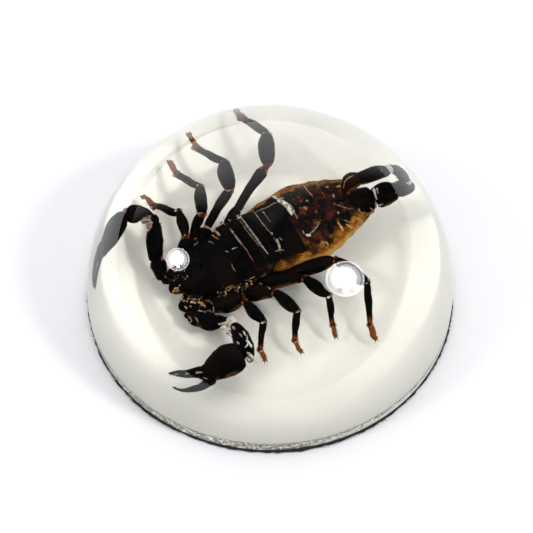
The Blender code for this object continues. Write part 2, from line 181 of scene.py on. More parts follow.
# Limbs, each segment as its height at both ends and its (x, y, half-width) stations
LIMBS = {
    "right_1": {
        "femur": (8.3, 9.4, ((-13.4, 3.2, 1.41), (-13.4, 4.1, 1.12), (-13.5, 4.9, 0.47))),
        "patella": (9.8, 9.2, ((-13.7, 4.7, 0.41), (-13.8, 6.2, 0.8), (-14.1, 7.6, 0.86), (-14.3, 8.7, 0.66),
            (-14.5, 9.6, 0.4))),
        "tibia": (9.0, 6.6, ((-14.6, 9.5, 0.54), (-15.5, 10, 0.65), (-16.3, 10.8, 0.61), (-17, 11.6, 0.53),
            (-17.9, 12.2, 0.45))),
        "tarsus": (6.4, 5.3, ((-18, 12.2, 0.5), (-18.4, 13.1, 0.46), (-18.8, 14, 0.33), (-19.2, 14.5, 0.1))),
    },
    "right_2": {
        "femur": (8.2, 9.8, ((-12.6, 3.8, 0.64), (-12.3, 5.3, 0.58), (-12, 6.6, 0.62), (-11.5, 7.8, 0.8),
            (-11.2, 8.4, 0.75), (-10.8, 8.8, 0.6))),
        "patella": (10.2, 9.2, ((-10.9, 8.6, 0.61), (-10.9, 10, 0.89), (-11, 11.6, 0.95), (-11, 12.9, 0.86),
            (-10.9, 14, 0.58))),
        "tibia": (9.0, 6.6, ((-11.1, 14.3, 0.52), (-12, 15, 0.57), (-12.7, 15.9, 0.59), (-13.4, 16.7, 0.51),
            (-14, 17.5, 0.57))),
        "tarsus": (6.4, 5.3, ((-14.1, 17.8, 0.39), (-14.4, 18.7, 0.42), (-14.6, 19.5, 0.42),
            (-14.7, 20, 0.1))),
    },
    "right_3": {
        "trochanter": (8.0, 8.5, ((-10.5, 3.9, 0.63), (-10.6, 5.1, 0.79), (-10.3, 6.4, 0.91))),
        "femur": (8.5, 10.2, ((-9.9, 7.2, 0.63), (-9.2, 8.5, 0.66), (-8.4, 9.9, 0.69), (-7.6, 11.2, 0.79),
            (-6.6, 12.6, 0.76))),
        "patella": (10.5, 9.2, ((-6.4, 13, 0.68), (-6.6, 14.2, 1.07), (-6.9, 15.7, 1.21), (-7, 16.9, 1.12),
            (-7, 18.2, 0.71))),
        "tibia": (9.0, 6.6, ((-7.3, 18.6, 0.53), (-8.4, 19.3, 0.62), (-9.3, 20.2, 0.54), (-10.1, 20.9, 0.47),
            (-10.9, 21.8, 0.55))),
        "tarsus": (6.4, 5.3, ((-10.9, 22.1, 0.29), (-11.1, 22.8, 0.35), (-11.5, 23.7, 0.33),
            (-11.6, 24.2, 0.1))),
    },
    "right_4": {
        "trochanter": (8.0, 8.5, ((-6.5, 8.3, 0.6), (-5.9, 9.5, 0.59), (-5.2, 10.2, 0.64))),
        "femur": (8.5, 10.2, ((-5.1, 10.4, 0.7), (-4.2, 12, 0.66), (-3.2, 13.6, 0.71), (-2.2, 14.9, 0.83),
            (-1.2, 16.3, 0.98))),
        "patella": (10.5, 9.2, ((-0.4, 17.5, 0.78), (-0.5, 18.9, 1.1), (-0.6, 20.2, 1.18), (-0.6, 21.4, 1.14),
            (-0.5, 22.8, 0.68))),
        "tibia": (9.0, 6.6, ((-0.7, 23.2, 0.56), (-1.6, 24, 0.61), (-2.5, 24.9, 0.62), (-3.4, 25.6, 0.48),
            (-4.1, 26.3, 0.55))),
        "tarsus": (6.4, 5.4, ((-4.3, 26.3, 0.36), (-4.5, 27, 0.41), (-4.8, 27.7, 0.36))),
    },
    "left_1": {
        "femur": (8.0, 9.2, ((-9.5, -8.4, 0.59), (-8.4, -8, 1.28), (-7.1, -7.7, 1.69), (-5.9, -7.1, 1.72),
            (-4.8, -6.8, 1.11))),
        "patella": (9.5, 8.7, ((-4.1, -8.2, 0.5), (-3.3, -9.1, 0.95), (-2.6, -10.1, 1.08),
            (-1.8, -10.8, 0.89), (-1.2, -11.3, 0.57))),
        "tibia": (8.5, 6.6, ((-1.1, -11.3, 0.54), (-1.2, -12.3, 0.59), (-1.4, -13.3, 0.53),
            (-1.5, -14.5, 0.45), (-1.6, -15.8, 0.43))),
        "tarsus": (6.4, 5.3, ((-1.6, -16, 0.33), (-1.2, -16.6, 0.42), (-0.9, -17.1, 0.38),
            (-0.8, -17.2, 0.1))),
    },
    "left_2": {
        "femur": (8.0, 9.2, ((-3.8, -5.6, 1.16), (-2.3, -5.5, 1.39), (-0.9, -5.6, 1.22), (0.3, -5.9, 0.89))),
        "patella": (9.5, 8.7, ((0.9, -6.1, 0.59), (1.8, -6.8, 0.96), (2.7, -7.7, 1.12), (3.6, -8.5, 1.05),
            (4.6, -9.1, 0.6))),
        "tibia": (8.5, 6.6, ((4.7, -9.2, 0.55), (4.5, -10.3, 0.6), (4.4, -11.5, 0.6), (4.3, -12.6, 0.47),
            (4.3, -13.7, 0.5))),
        "tarsus": (6.4, 5.3, ((4.3, -13.9, 0.41), (4.6, -14.4, 0.37), (5, -15.2, 0.39), (5.3, -15.3, 0.12))),
    },
    "left_3": {
        "femur": (8.0, 9.2, ((-1, -3, 1.3), (0.7, -2.9, 1.48), (2.4, -2.8, 1.29), (4, -2.8, 0.97),
            (5.3, -3.1, 0.65))),
        "patella": (9.5, 8.7, ((5.9, -3.3, 0.62), (6.8, -4, 0.96), (7.7, -4.7, 1.1), (8.6, -5.5, 0.9),
            (9.8, -6, 0.45))),
        "tibia": (8.5, 6.6, ((9.9, -6.1, 0.49), (10.1, -7.2, 0.55), (10.3, -8.3, 0.56), (10.4, -9.4, 0.4),
            (10.6, -10.4, 0.47))),
        "tarsus": (6.4, 5.3, ((10.7, -10.7, 0.4), (10.9, -11.3, 0.4), (11, -11.9, 0.4), (11.1, -12, 0.1))),
    },
    "left_4": {
        "femur": (8.2, 9.6, ((2.9, -1.2, 0.86), (4.8, -1.1, 1.11), (6.5, -0.7, 1.26), (8.2, -0.2, 1.24),
            (9.5, 0.2, 1.04), (10.6, 0.4, 0.54))),
        "patella": (9.8, 8.7, ((11, 0.2, 0.62), (12.3, -0.6, 0.99), (13.5, -1.6, 1.21), (14.8, -2.7, 1.23),
            (16.2, -3.2, 0.68))),
        "tibia": (8.5, 6.6, ((16.4, -3.7, 0.54), (16.5, -5.2, 0.6), (16.7, -6.4, 0.66), (16.9, -8, 0.54),
            (17.1, -9.4, 0.48), (17.2, -10.4, 0.47))),
        "tarsus": (6.4, 5.3, ((17.3, -10.8, 0.41), (17.7, -11.5, 0.55), (18, -12.5, 0.54),
            (18.3, -12.7, 0.12))),
    },
    "arm_right": {
        "trochanter": (8.4, 8.7, ((-17.8, -2.6, 0.54), (-17.9, -2, 0.93), (-18, -0.9, 1.24),
            (-18.3, 0.1, 1.42), (-18.5, 0.7, 0.87))),
        "femur": (8.8, 9.5, ((-18.6, 0.6, 0.79), (-18.7, 1.3, 1.19), (-18.8, 2.6, 1.32), (-18.8, 3.9, 1.42),
            (-18.8, 5.4, 1.33), (-18.5, 6.8, 0.87), (-18.5, 7.9, 0.35))),
        "patella": (9.5, 9.2, ((-18.7, 8.3, 0.25), (-19.6, 9.1, 0.71), (-20.4, 9.7, 0.86), (-21.3, 9.7, 1.39),
            (-22.4, 9.7, 1.71), (-23.3, 10.1, 1.4), (-23.7, 10.3, 0.83))),
        "hand": (9.0, 7.6, ((-24.4, 10.1, 1.08), (-25.4, 8.8, 1.99), (-26.5, 7.7, 2.25), (-27.6, 6.2, 2.07),
            (-28.8, 4.9, 1.64), (-29.9, 3.6, 1.22))),
        "finger_in": (7.6, 6.6, ((-29.6, 3.8, 1.13), (-30.1, 3, 0.7), (-30.7, 1.7, 0.45), (-31.8, -0.3, 0.42),
            (-32.8, -2.8, 0.25), (-32.9, -3.3, 0.07))),
        "finger_out": (7.8, 6.6, ((-29.9, 5.5, 0.84), (-30.8, 4.3, 0.65), (-31.8, 2.7, 0.75),
            (-32.8, 0.6, 0.7), (-33.4, -1.4, 0.66), (-33.6, -3, 0.22))),
    },
    "arm_left": {
        "trochanter": (8.2, 8.3, ((-15, -7.9, 0.58), (-14, -8, 1.14), (-12.9, -8.2, 1.34),
            (-11.7, -8.1, 1.24), (-10.7, -8.1, 1.05))),
        "femur": (8.0, 8.0, ((-13.6, -9.9, 0.6), (-12.7, -10.4, 1.28), (-11.5, -10.6, 1.52),
            (-10.3, -11, 1.76), (-9.1, -11, 1.47), (-8.3, -10.6, 0.82), (-6.8, -10.8, 0.29))),
        "patella": (8.3, 8.5, ((-6.3, -11.6, 0.51), (-5.7, -12.7, 1.06), (-5.2, -14.1, 1.43),
            (-4.8, -15.5, 1.52), (-4.5, -16.8, 1.62), (-4, -18.1, 1.29), (-3.6, -19.5, 0.7))),
        "hand": (8.5, 7.9, ((-5, -18.6, 2.05), (-5.5, -18.8, 2.6), (-6.7, -19.6, 3.1), (-7.9, -20.6, 3.1),
            (-9.2, -21.6, 2.75), (-10.8, -22.7, 2.15), (-12.1, -23.1, 1.6), (-13.2, -23.2, 1.25))),
        "finger_in": (7.9, 7.1, ((-12.6, -22.9, 1.42), (-13.8, -23, 1.01), (-15.4, -23.3, 0.82),
            (-17.1, -23.2, 0.67), (-18.2, -23.1, 0.37), (-18.9, -23, 0.13))),
        "finger_out": (8.2, 6.9, ((-10.4, -24.7, 0.97), (-11.7, -25.7, 0.93), (-13, -26.8, 0.74),
            (-14.5, -27.3, 0.68), (-16.1, -27.7, 0.47), (-17.5, -27.6, 0.29), (-18.7, -26.8, 0.19))),
    },
    "tail": {
        "II": (9.8, 10.4, ((17, 12.1, 1.67), (17.9, 12.6, 1.95), (19.1, 13.1, 1.94), (20.4, 13.4, 1.25))),
        "III": (10.6, 12.6, ((20.8, 13.7, 1.29), (22, 13.9, 1.47), (23.6, 14.4, 1.3), (24.9, 15.2, 0.86))),
        "IV": (13.2, 15.4, ((23.2, 15.3, 1.46), (23.1, 15.9, 1.59), (22.4, 16.3, 1.49), (21.6, 16.2, 1.08),
            (21, 16.2, 0.71))),
        "V": (15.6, 16.4, ((20.6, 15.6, 0.71), (19.3, 15, 1.22), (17.8, 14.2, 1.33), (16.4, 13.3, 1.28),
            (15.2, 12.7, 1.17))),
    },
}

# Side of each hand's inner finger that carries teeth
TEETH = {"right": 1, "left": -1}

# Mouth parts, as (x, y, z, half-width) stations
CHELICERAE = (
    ((-12.2, -1.9, 9.6, 1.0), (-13.8, -2.2, 9.7, 1.3), (-15.6, -2.5, 9.6, 1.3), (-16.7, -2.9, 9.3, 0.8)),
    ((-11.8, -4.4, 9.4, 1.0), (-13.6, -4.7, 9.5, 1.3), (-15.4, -4.9, 9.4, 1.3), (-16.5, -5.3, 9.1, 0.9)),
)

# First joint of each claw arm, as (x, y, z, half-width) stations
ARM_COXAE = {
    "right": ((-13.2, -2.2, 8.6, 1.2), (-15.4, -2.3, 8.4, 1.3), (-17.6, -2.4, 8.4, 1.1)),
    "left": ((-11.6, -4.6, 8.6, 1.3), (-12.8, -6.3, 8.5, 1.5), (-13.6, -8.0, 8.3, 1.3)),
}

# Tail: its first joint and its sting, as (x, y, z, half-width) stations
TAIL_FIRST = ((12.3, 10.2, 9.3, 1.5), (13.6, 10.9, 9.7, 2.1), (15.0, 11.5, 9.9, 2.25), (16.4, 12.1, 9.9, 1.9))
STING = ((15.5, 12.8, 16.3, 0.9), (14.4, 12.6, 16.1, 1.4), (13.4, 12.3, 15.6, 1.45), (12.6, 11.7, 14.8, 0.9),
         (12.2, 11.0, 13.9, 0.4), (12.2, 10.3, 13.2, 0.1))

# Shapes of limbs: how far segments run past their ends, where keels stand round them and how broad they
# are, what sets a leg's segments apart, and the half-widths of spines and bristles from root to tip
SEGMENT_OVERLAP = 0.3
KEELS = (0.0, math.pi, math.pi * 0.5, math.pi * 0.28, math.pi * 0.72)
KEEL_BREADTH = 0.17
LEG_SHAPES = {
    "femur": {"high": 0.95},
    "patella": {"high": 0.92},
    "tibia": {"high": 0.95, "warm": lambda share: ramp(share, 0.8, 1.0)},
    "tarsus": {"warm": 0.8, "edge": 0.1, "keel": 0.02, "bow": 0.0, "caps": (0.1, 0.1)},
}
SPINE = (0.2, 0.13, 0.02)
BRISTLE = (0.028, 0.022, 0.006)

# Crumbs of dried tissue: both ends of each strewn line, spread and amount
CRUMBS = (
    ((-14.6, -7.4, 9.2), (-10.6, -8.2, 9.4), 0.45, 90),
    ((-8.6, -6.4, 9.6), (-2.2, -4.4, 9.8), 0.4, 90),
    ((-15.8, -3.4, 10.2), (-15.2, -5.4, 10.0), 0.35, 26),
    ((-12.4, 3.4, 9.0), (-9.6, 4.0, 9.4), 0.35, 30),
    ((-8.8, 6.0, 8.6), (-6.0, 8.2, 9.2), 0.4, 40),
    ((-18.8, 7.6, 9.8), (-20.0, 8.8, 9.8), 0.3, 24),
)
CRUMB_KINDS = {"dark": 0.52, "gold": 0.17, "rust": 0.26, "white": 0.05}

# Marks of each kind of fleck and crumb
FLECK_MARKS = {
    "dark": {"edge": 1.0}, "white": {}, "dull": {"soft": 0.7}, "gold": {"pale": 1.0}, "rust": {"warm": 0.7},
}

# Flecks of skin, joints and spots of colour: kind, then half-width and places of each
FLECKS = {
    "white": (
        (0.19, ((-13.3, -8, 9.7), (-12.9, -8.2, 9.7), (-12.4, -8.3, 9.6))),
        (0.4, ((-8.8, -12.2, 8.9), (-7.9, -11.4, 8.1), (-6.9, -12, 8.9))),
        (0.4, ((-8.5, -12.8, 8.5), (-7.4, -12.7, 8.5), (-6.7, -13.5, 8.5))),
        (0.28, ((-7.6, -14, 8.7), (-6.6, -14.5, 8.7))), (0.17, ((-4.7, -14.2, 9.6), (-4.2, -15.4, 9.7))),
        (0.13, ((-4, -15.3, 9.7), (-3.9, -16.2, 9.7))), (0.17, ((-5.8, -16.6, 9.5), (-5.5, -17.3, 9.7))),
        (0.25, ((-4.2, -16.5, 9.9), (-3.5, -17.2, 9.6), (-3.2, -18, 9.5))),
        (0.17, ((-3.8, -17.1, 9.7), (-4.3, -18.1, 9.6))),
        (0.25, ((-4.1, -19, 9.4), (-3.4, -19.4, 9.2), (-3, -20.2, 9))),
        (0.23, ((-4.2, -19.7, 8.9), (-3.6, -20.6, 8.9))), (0.11, ((-15.8, -23.9, 8.3), (-15.2, -23.9, 8.4))),
        (0.17, ((-7.5, -6.8, 10.2), (-7.2, -6.9, 10.3))), (0.13, ((-3.3, -3.9, 9.6), (-3, -3.7, 9.3))),
        (0.23, ((-5.3, 8.6, 9.7), (-4.7, 7.6, 10.4))),
        (0.27, ((16.7, 13.4, 11.3), (17, 12.5, 11.7), (17.2, 11.7, 11.5), (17.4, 11.2, 11.3))),
        (0.15, ((17.4, 13.2, 11.7), (17.7, 12.1, 11.8))),
        (0.11, ((20.6, 16.2, 16.5), (21, 15.6, 16.5), (21.1, 15.1, 15.5))),
        (0.15, ((24.7, 15.9, 14.1), (24.8, 15.8, 13.2))),
    ),
    "gold": (
        (0.21, ((-12.1, -8, 9.6), (-11.6, -8.2, 9.5), (-11.1, -8.6, 9.3))),
        (0.14, ((-13.5, -8.9, 9.4), (-13.1, -8.9, 9.4))),
        (0.06, ((-13.8, -7.3, 9.6), (-13.2, -7.5, 9.7), (-12.1, -7.4, 9.4))),
        (0.13, ((-17, -1.7, 9.3), (-16.8, -2.1, 9.9))),
        (0.21, ((-16.2, -6, 9.4), (-15.7, -5.9, 10.3), (-15.2, -5.7, 10.5))),
        (0.06, ((-7.4, -5.8, 10.1), (-6.4, -5.2, 10.3))),
        (0.06, ((-4.2, -4.2, 10.2), (-3.3, -3.8, 10.2), (-2.5, -3.4, 10.2))),
        (0.11, ((-7.7, -7.1, 10.1), (-7.4, -7.4, 10.4))), (0.11, ((-4.2, -4.8, 9.2), (-3.8, -4.6, 9.1))),
        (0.08, ((-8.7, -6.7, 9), (-8.2, -7, 9.8))),
        (0.08, ((-9.4, 4.8, 10.2), (-9, 3.7, 11.1), (-8.4, 3, 11.6))),
        (0.22, ((10.6, 13.1, 11.3), (11.2, 13.5, 11))), (0.16, ((10.3, 9.9, 11.9), (10.6, 9.5, 11.9))),
        (0.06, ((5.2, 13.7, 10.7), (5.8, 12.5, 11.6), (6.8, 10.8, 12.1))),
        (0.08, ((8.3, 2.4, 11.2), (9, 2.9, 11.2), (9.6, 2.5, 10.9), (9.1, 2.1, 10.5))),
        (0.16, ((11, 6.6, 11.7), (11.5, 5.9, 11.4), (12, 5.2, 10.8))),
        (0.19, ((12.4, 6.5, 11), (13.1, 6.1, 10.6), (13.6, 6.3, 9.6))),
        (0.06, ((12.1, 7.1, 11.3), (13.2, 7, 10.8), (14.3, 8, 10.5))),
    ),
    "rust": (
        (0.16, ((-14.3, -8.6, 9.2), (-13.9, -9.1, 9))), (0.08, ((-10.9, -8.2, 9.4), (-10.8, -9, 9.1))),
        (0.1, ((-10.2, -7.4, 9.2), (-9.5, -8.2, 9.1))), (0.24, ((-6.4, -12.8, 9.1), (-6.1, -13.9, 9.4))),
        (0.1, ((-5.3, -14.8, 9.7), (-4.9, -15.8, 9.9))), (0.11, ((-12.5, -24.6, 8.4), (-11.7, -25.7, 9.1))),
        (0.24, ((-19.5, 7.6, 9.8), (-19.5, 6.6, 9.8), (-19.9, 5.7, 9.8))),
        (0.11, ((-17.6, 1, 10), (-17.8, -0.1, 10))), (0.11, ((-17.4, -2.7, 9.4), (-17.1, -3.1, 9.3))),
        (0.08, ((-10.2, 2.9, 11.1), (-9.5, 2.2, 11.8), (-9, 2, 11.9))),
        (0.11, ((-7.3, 0.5, 11.9), (-6.9, 0.2, 12))),
        (0.06, ((-6.4, -1.9, 11.9), (-6.1, -2.6, 11.7), (-5.7, -3.2, 11.4))),
        (0.08, ((-5.9, -6.2, 10.4), (-5.3, -6.7, 10.5))), (0.11, ((-0.3, -5.4, 10.1), (0.1, -5.8, 10.1))),
        (0.21, ((-9.2, 5.1, 11.3), (-8.7, 4.7, 11), (-8.1, 3.6, 11.6))),
        (0.11, ((-6.7, 8, 9.5), (-6.1, 7.3, 10))),
        (0.1, ((17.1, 11.1, 10.9), (17.2, 10.5, 10.9), (17.3, 9.7, 10.9))),
        (0.21, ((17.5, 10.3, 10.5), (17.9, 10.6, 10.4), (18.4, 10.8, 10.7))),
        (0.1, ((14.3, 9.4, 11.2), (14.7, 9, 10.6), (15.7, 9.2, 10.2))),
        (0.11, ((16.2, 9.8, 10.7), (16.7, 9.8, 9.9))), (0.11, ((20.7, 14.7, 11.8), (21, 14.3, 12.2))),
        (0.13, ((21, 12.8, 11.9), (20.9, 12.5, 11.5))), (0.1, ((19.5, 15, 17.1), (19.5, 14.5, 17))),
        (0.08, ((12.3, 11.1, 15.3), (12.6, 11.7, 16.6), (13.3, 12.3, 17.2), (14.2, 12.7, 17.4))),
        (0.21, ((5.5, 8.8, 12.5), (6, 8.1, 12.7))), (0.19, ((10.1, 11.6, 11.7), (10.3, 11, 11.8))),
        (0.16, ((11, 8.4, 11.7), (11.2, 8, 11.7))), (0.19, ((8.9, 13.2, 11.3), (9.3, 12.9, 11.4))),
        (0.18, ((5.8, 10.2, 12.2), (6.1, 9.8, 12.3))), (0.21, ((14.1, 7.9, 10.6), (14.9, 7.7, 9.5))),
    ),
    "dull": (
        (0.1, ((-12.2, -9.4, 8.9), (-11.5, -9.7, 9.2), (-10.7, -10.1, 9.4))),
        (0.11, ((-9.4, -8.5, 9.1), (-9.4, -8.9, 8.7), (-9.3, -9, 7.8))),
        (0.1, ((-13.8, -10.4, 8.7), (-13.3, -11.2, 8.7), (-13.7, -11.9, 8.7))),
        (0.1, ((-12.8, -10.9, 9.1), (-12.3, -11.6, 8.9), (-12.5, -11.6, 7.5))),
        (0.13, ((-18, -23.6, 7.5), (-17.2, -23.8, 8))),
        (0.21, ((-13.8, -23.8, 8.6), (-13, -23.8, 8.9), (-12.5, -23.9, 9))),
        (0.38, ((-21.1, 8.2, 9.6), (-20.3, 8.1, 9.6), (-19.5, 8, 9.6))),
        (0.19, ((-15.8, -6.1, 9.8), (-15.1, -6, 10.2))), (0.1, ((-13.7, -3.7, 11), (-13.6, -4, 11))),
        (0.11, ((-14, -4, 10.7), (-13.9, -4.3, 10.7))), (0.1, ((-14.2, -2.7, 11.1), (-14.1, -2.9, 11))),
        (0.06, ((-6.3, 0.8, 12), (-5.8, 1, 12), (-5.4, 1.2, 12))),
        (0.13, ((-4.7, -5.4, 9.2), (-4.4, -5.5, 9.3))), (0.1, ((-1.7, -3.8, 9), (-1.3, -4.8, 9.9))),
        (0.15, ((-13.9, 4.7, 10.3), (-13.7, 4.5, 10.3))),
        (0.1, ((-7.5, 12.9, 10.9), (-6.8, 12.5, 10.9), (-6.2, 12.7, 10.9))),
        (0.07, ((-12.1, 8.8, 10.6), (-11.5, 8.6, 10.5), (-10.8, 8.5, 10.8))),
    ),
}


# ---------------------------------------------------------------- shapes

def unit(vectors):
    length = np.linalg.norm(vectors, axis=-1, keepdims=True)
    return vectors / np.maximum(length, 1e-9)


def ramp(value, start, end):
    """0 at start, 1 at end, straight between them and level beyond."""
    return np.clip((value - start) / (end - start), 0, 1)


def hump(value, breadth):
    """1 at nought, falling off smoothly to both sides."""
    return np.exp(-(value / breadth) ** 2)


def turns(sides):
    """Angles spread evenly round a circle."""
    return np.arange(sides) * 2 * math.pi / sides


def wobble(turn, scale, level):
    """Smooth noise at an angle of a circle, rougher for a larger scale."""
    return noise.noise(Vector((scale * math.cos(turn), scale * math.sin(turn), level)))


def smooth_path(points, count):
    """Evenly spread places on a smooth curve through the given points."""
    p = np.array(points, float)
    p = np.vstack([2 * p[0] - p[1], p, 2 * p[-1] - p[-2]])
    steps = np.linspace(0.0, 1.0, 24, endpoint=False)[:, None]
    curve = []
    for a, b, c, d in zip(p, p[1:], p[2:], p[3:]):
        curve.append(0.5 * (2 * b + (c - a) * steps + (2 * a - 5 * b + 4 * c - d) * steps ** 2
                            + (3 * b - a - 3 * c + d) * steps ** 3))
    curve = np.vstack(curve + [p[-2]])
    reach = np.concatenate([[0.0], np.cumsum(np.linalg.norm(np.diff(curve[:, :3], axis=0), axis=1))])
    wanted = np.linspace(0.0, reach[-1], count)
    return np.stack([np.interp(wanted, reach, values) for values in curve.T], axis=1)


def eased(knots, places):
    """Values at places, read from a softened line through (place, value) knots."""
    fine = np.linspace(0.0, 1.0, 241)
    line = np.pad(np.interp(fine, *zip(*knots)), 12, mode="edge")
    kernel = np.hanning(25)
    return np.interp(places, fine, np.convolve(line, kernel / kernel.sum(), "valid"))


def rounded(places, start, end):
    """Share of full width that closes a form round at both ends."""
    share = 1.0
    for gap, reach in ((places, start), (1.0 - places, end)):
        share = share * np.sqrt(1.0 - np.clip(1.0 - gap / reach, 0, 1) ** 2)
    return share


def sunk(places):
    """Places with the specimen's head end lower, and so much further back that the photo's view stays."""
    drop = SUNK_DEPTH * hump(np.hypot(*(places[:, :2] - SUNK_SPOT).T), SUNK_REACH)
    places[:, 1] += SUNK_BACK * drop
    places[:, 2] -= drop
    return places


def ring_faces(count, sides):
    """Faces of a closed tube: rings of vertices, then the middle of its first and of its last cap."""
    faces = []
    first = count * sides
    for low in range(0, first - sides, sides):
        for j in range(sides):
            k = (j + 1) % sides
            faces.append((low + j, low + k, low + sides + k, low + sides + j))
    for j in range(sides):
        k = (j + 1) % sides
        faces += [(first, k, j), (first + 1, first - sides + j, first - sides + k)]
    return faces


def placed(name, data):
    """A new object in the scene."""
    made = bpy.data.objects.new(name, data)
    bpy.context.scene.collection.objects.link(made)
    return made


class Form:
    """Gathers closed shells, with a value of each mark at each vertex, into one mesh."""

    def __init__(self):
        self.verts = []
        self.faces = []
        self.marks = {"edge": [], "soft": [], "pale": [], "warm": []}

    def add(self, verts, faces, **marks):
        start = len(self.verts)
        self.verts.extend(verts)
        self.faces.extend(tuple(start + i for i in face) for face in faces)
        for mark, values in self.marks.items():
            values.extend(np.broadcast_to(marks.get(mark, 0.0), (len(verts),)))

    def tube(self, path, wide, high, sides=20, level=UP, keel=0.0, keel_at=(), **marks):
        """A closed tube round a path, with its own half-width and half-height at each place."""
        count = len(path)
        heading = unit(np.gradient(path, axis=0))
        side = unit(np.cross(heading, level))
        top = np.cross(side, heading)
        turn = turns(sides)
        bulge = 1.0
        for place in keel_at:
            bulge = bulge + keel * hump(np.angle(np.exp(1j * (turn - place))), KEEL_BREADTH)
        out = np.outer(wide, np.cos(turn) * bulge)[..., None] * side[:, None, :]
        up = np.outer(high, np.sin(turn) * bulge)[..., None] * top[:, None, :]
        rings = path[:, None, :] + out + up
        # The sides of every tube get the edge mark: partly real margins, partly a painted glow of light
        # through the thin sides
        values = {"edge": np.append(np.tile(np.abs(np.cos(turn)) ** 6, count), [0.0, 0.0])}
        for mark, value in marks.items():
            value = np.broadcast_to(value, (count,))
            values[mark] = np.append(np.repeat(value, sides), value[[0, -1]])
        self.add([*rings.reshape(-1, 3), path[0], path[-1]], ring_faces(count, sides), **values)

    def ball(self, centre, radii, sides=14, **marks):
        """A closed ball, or an egg with its own radii along x, y and z."""
        radii = np.broadcast_to(radii, (3,))
        tilt = np.linspace(0.0, math.pi, sides // 2 + 3)
        path = np.add(centre, np.outer(-np.cos(tilt) * radii[2], UP))
        share = np.sin(tilt) + 1e-4
        marks = {"edge": 0.0, **marks}
        self.tube(path, share * radii[1], share * radii[0], sides, level=(1.0, 0.0, 0.0), **marks)

    def shell(self, outer, depth, **marks):
        """A closed plate from a grid of outer places, given its thickness along its own normals."""
        rows, columns = outer.shape[:2]
        normal = unit(np.cross(np.gradient(outer, axis=0), np.gradient(outer, axis=1)))
        flip = normal[rows // 2, columns // 2, 2] < 0
        inner = outer - normal * (-depth if flip else depth)
        low = rows * columns
        faces = []
        for start in range(0, low - columns, columns):
            for a in range(start, start + columns - 1):
                quad = (a, a + columns, a + columns + 1, a + 1)
                faces += [quad, tuple(low + v for v in quad[::-1])]
        grid = np.arange(low).reshape(rows, columns)
        rim = np.concatenate([grid[0], grid[1:, -1], grid[-1, -2::-1], grid[-2:0:-1, 0]]).tolist()
        faces += [(a, b, low + b, low + a) for a, b in zip(rim, rim[1:] + rim[:1])]
        if flip:
            faces = [face[::-1] for face in faces]
        values = {}
        for mark, value in marks.items():
            values[mark] = np.tile(np.broadcast_to(value, (rows, columns)).ravel(), 2)
        self.add([*outer.reshape(-1, 3), *inner.reshape(-1, 3)], faces, **values)

    def roughen(self, amount, scale, seed=0.0):
        """Moves every vertex a little, by smooth noise, in all directions."""
        for i, place in enumerate(self.verts):
            shift = noise.noise_vector(Vector(place) * scale + Vector((seed, seed, seed))) * amount
            self.verts[i] = (place[0] + shift.x, place[1] + shift.y, place[2] + shift.z)

    def make(self, name, material, sink=True):
        """The form as an object, with the head end sunk if it belongs to the specimen."""
        mesh = bpy.data.meshes.new(name)
        places = np.array([tuple(place) for place in self.verts])
        if sink:
            places = sunk(places)
        mesh.from_pydata((places * MM).tolist(), [], self.faces)
        for mark, values in self.marks.items():
            attribute = mesh.attributes.new(mark, "FLOAT", "POINT")
            attribute.data.foreach_set("value", np.array(values, np.float32))
        mesh.shade_smooth()
        mesh.materials.append(material)
        mesh.validate()
        return placed(name, mesh)


# ---------------------------------------------------------------- materials

class Graph:
    """Short forms for the nodes of a material, a lamp or the world; inputs take values or links."""

    def __init__(self, owner):
        owner.use_nodes = True
        self.nodes, self.links = owner.node_tree.nodes, owner.node_tree.links

    def feed(self, target, value):
        if isinstance(value, bpy.types.NodeSocket):
            self.links.new(value, target)
        else:
            target.default_value = value

    def node(self, kind, output, inputs=(), **settings):
        """The named output of a new node with the given (input, value) pairs and settings."""
        made = self.nodes.new("ShaderNode" + kind)
        for key, value in settings.items():
            setattr(made, key, value)
        for key, value in inputs:
            self.feed(made.inputs[key], value)
        return made.outputs[output]

    def curve(self, source, low, high, start=0.0, end=1.0, kind="LINEAR"):
        """source from low to high becomes start to end, and stays there outside."""
        inputs = (("Value", source), ("From Min", low), ("From Max", high), ("To Min", start),
                  ("To Max", end))
        return self.node("MapRange", "Result", inputs, interpolation_type=kind)

    def math(self, operation, a, b):
        return self.node("Math", 0, ((0, a), (1, b)), operation=operation)

    def times(self, a, b):
        return self.math("MULTIPLY", a, b)

    def vector(self, operation, a, *b):
        """A vector made from one or two others, or the number that the operation gives."""
        output = "Value" if operation in ("DOT_PRODUCT", "DISTANCE") else "Vector"
        return self.node("VectorMath", output, enumerate((a, *b)), operation=operation)

    def mix(self, share, a, b):
        """Colour a, with a share of colour b."""
        return self.node("Mix", 2, ((0, share), (6, a), (7, b)), data_type="RGBA")

    def blend(self, share, a, b):
        """Number a, with a share of number b."""
        return self.node("Mix", 0, ((0, share), (2, a), (3, b)), data_type="FLOAT")


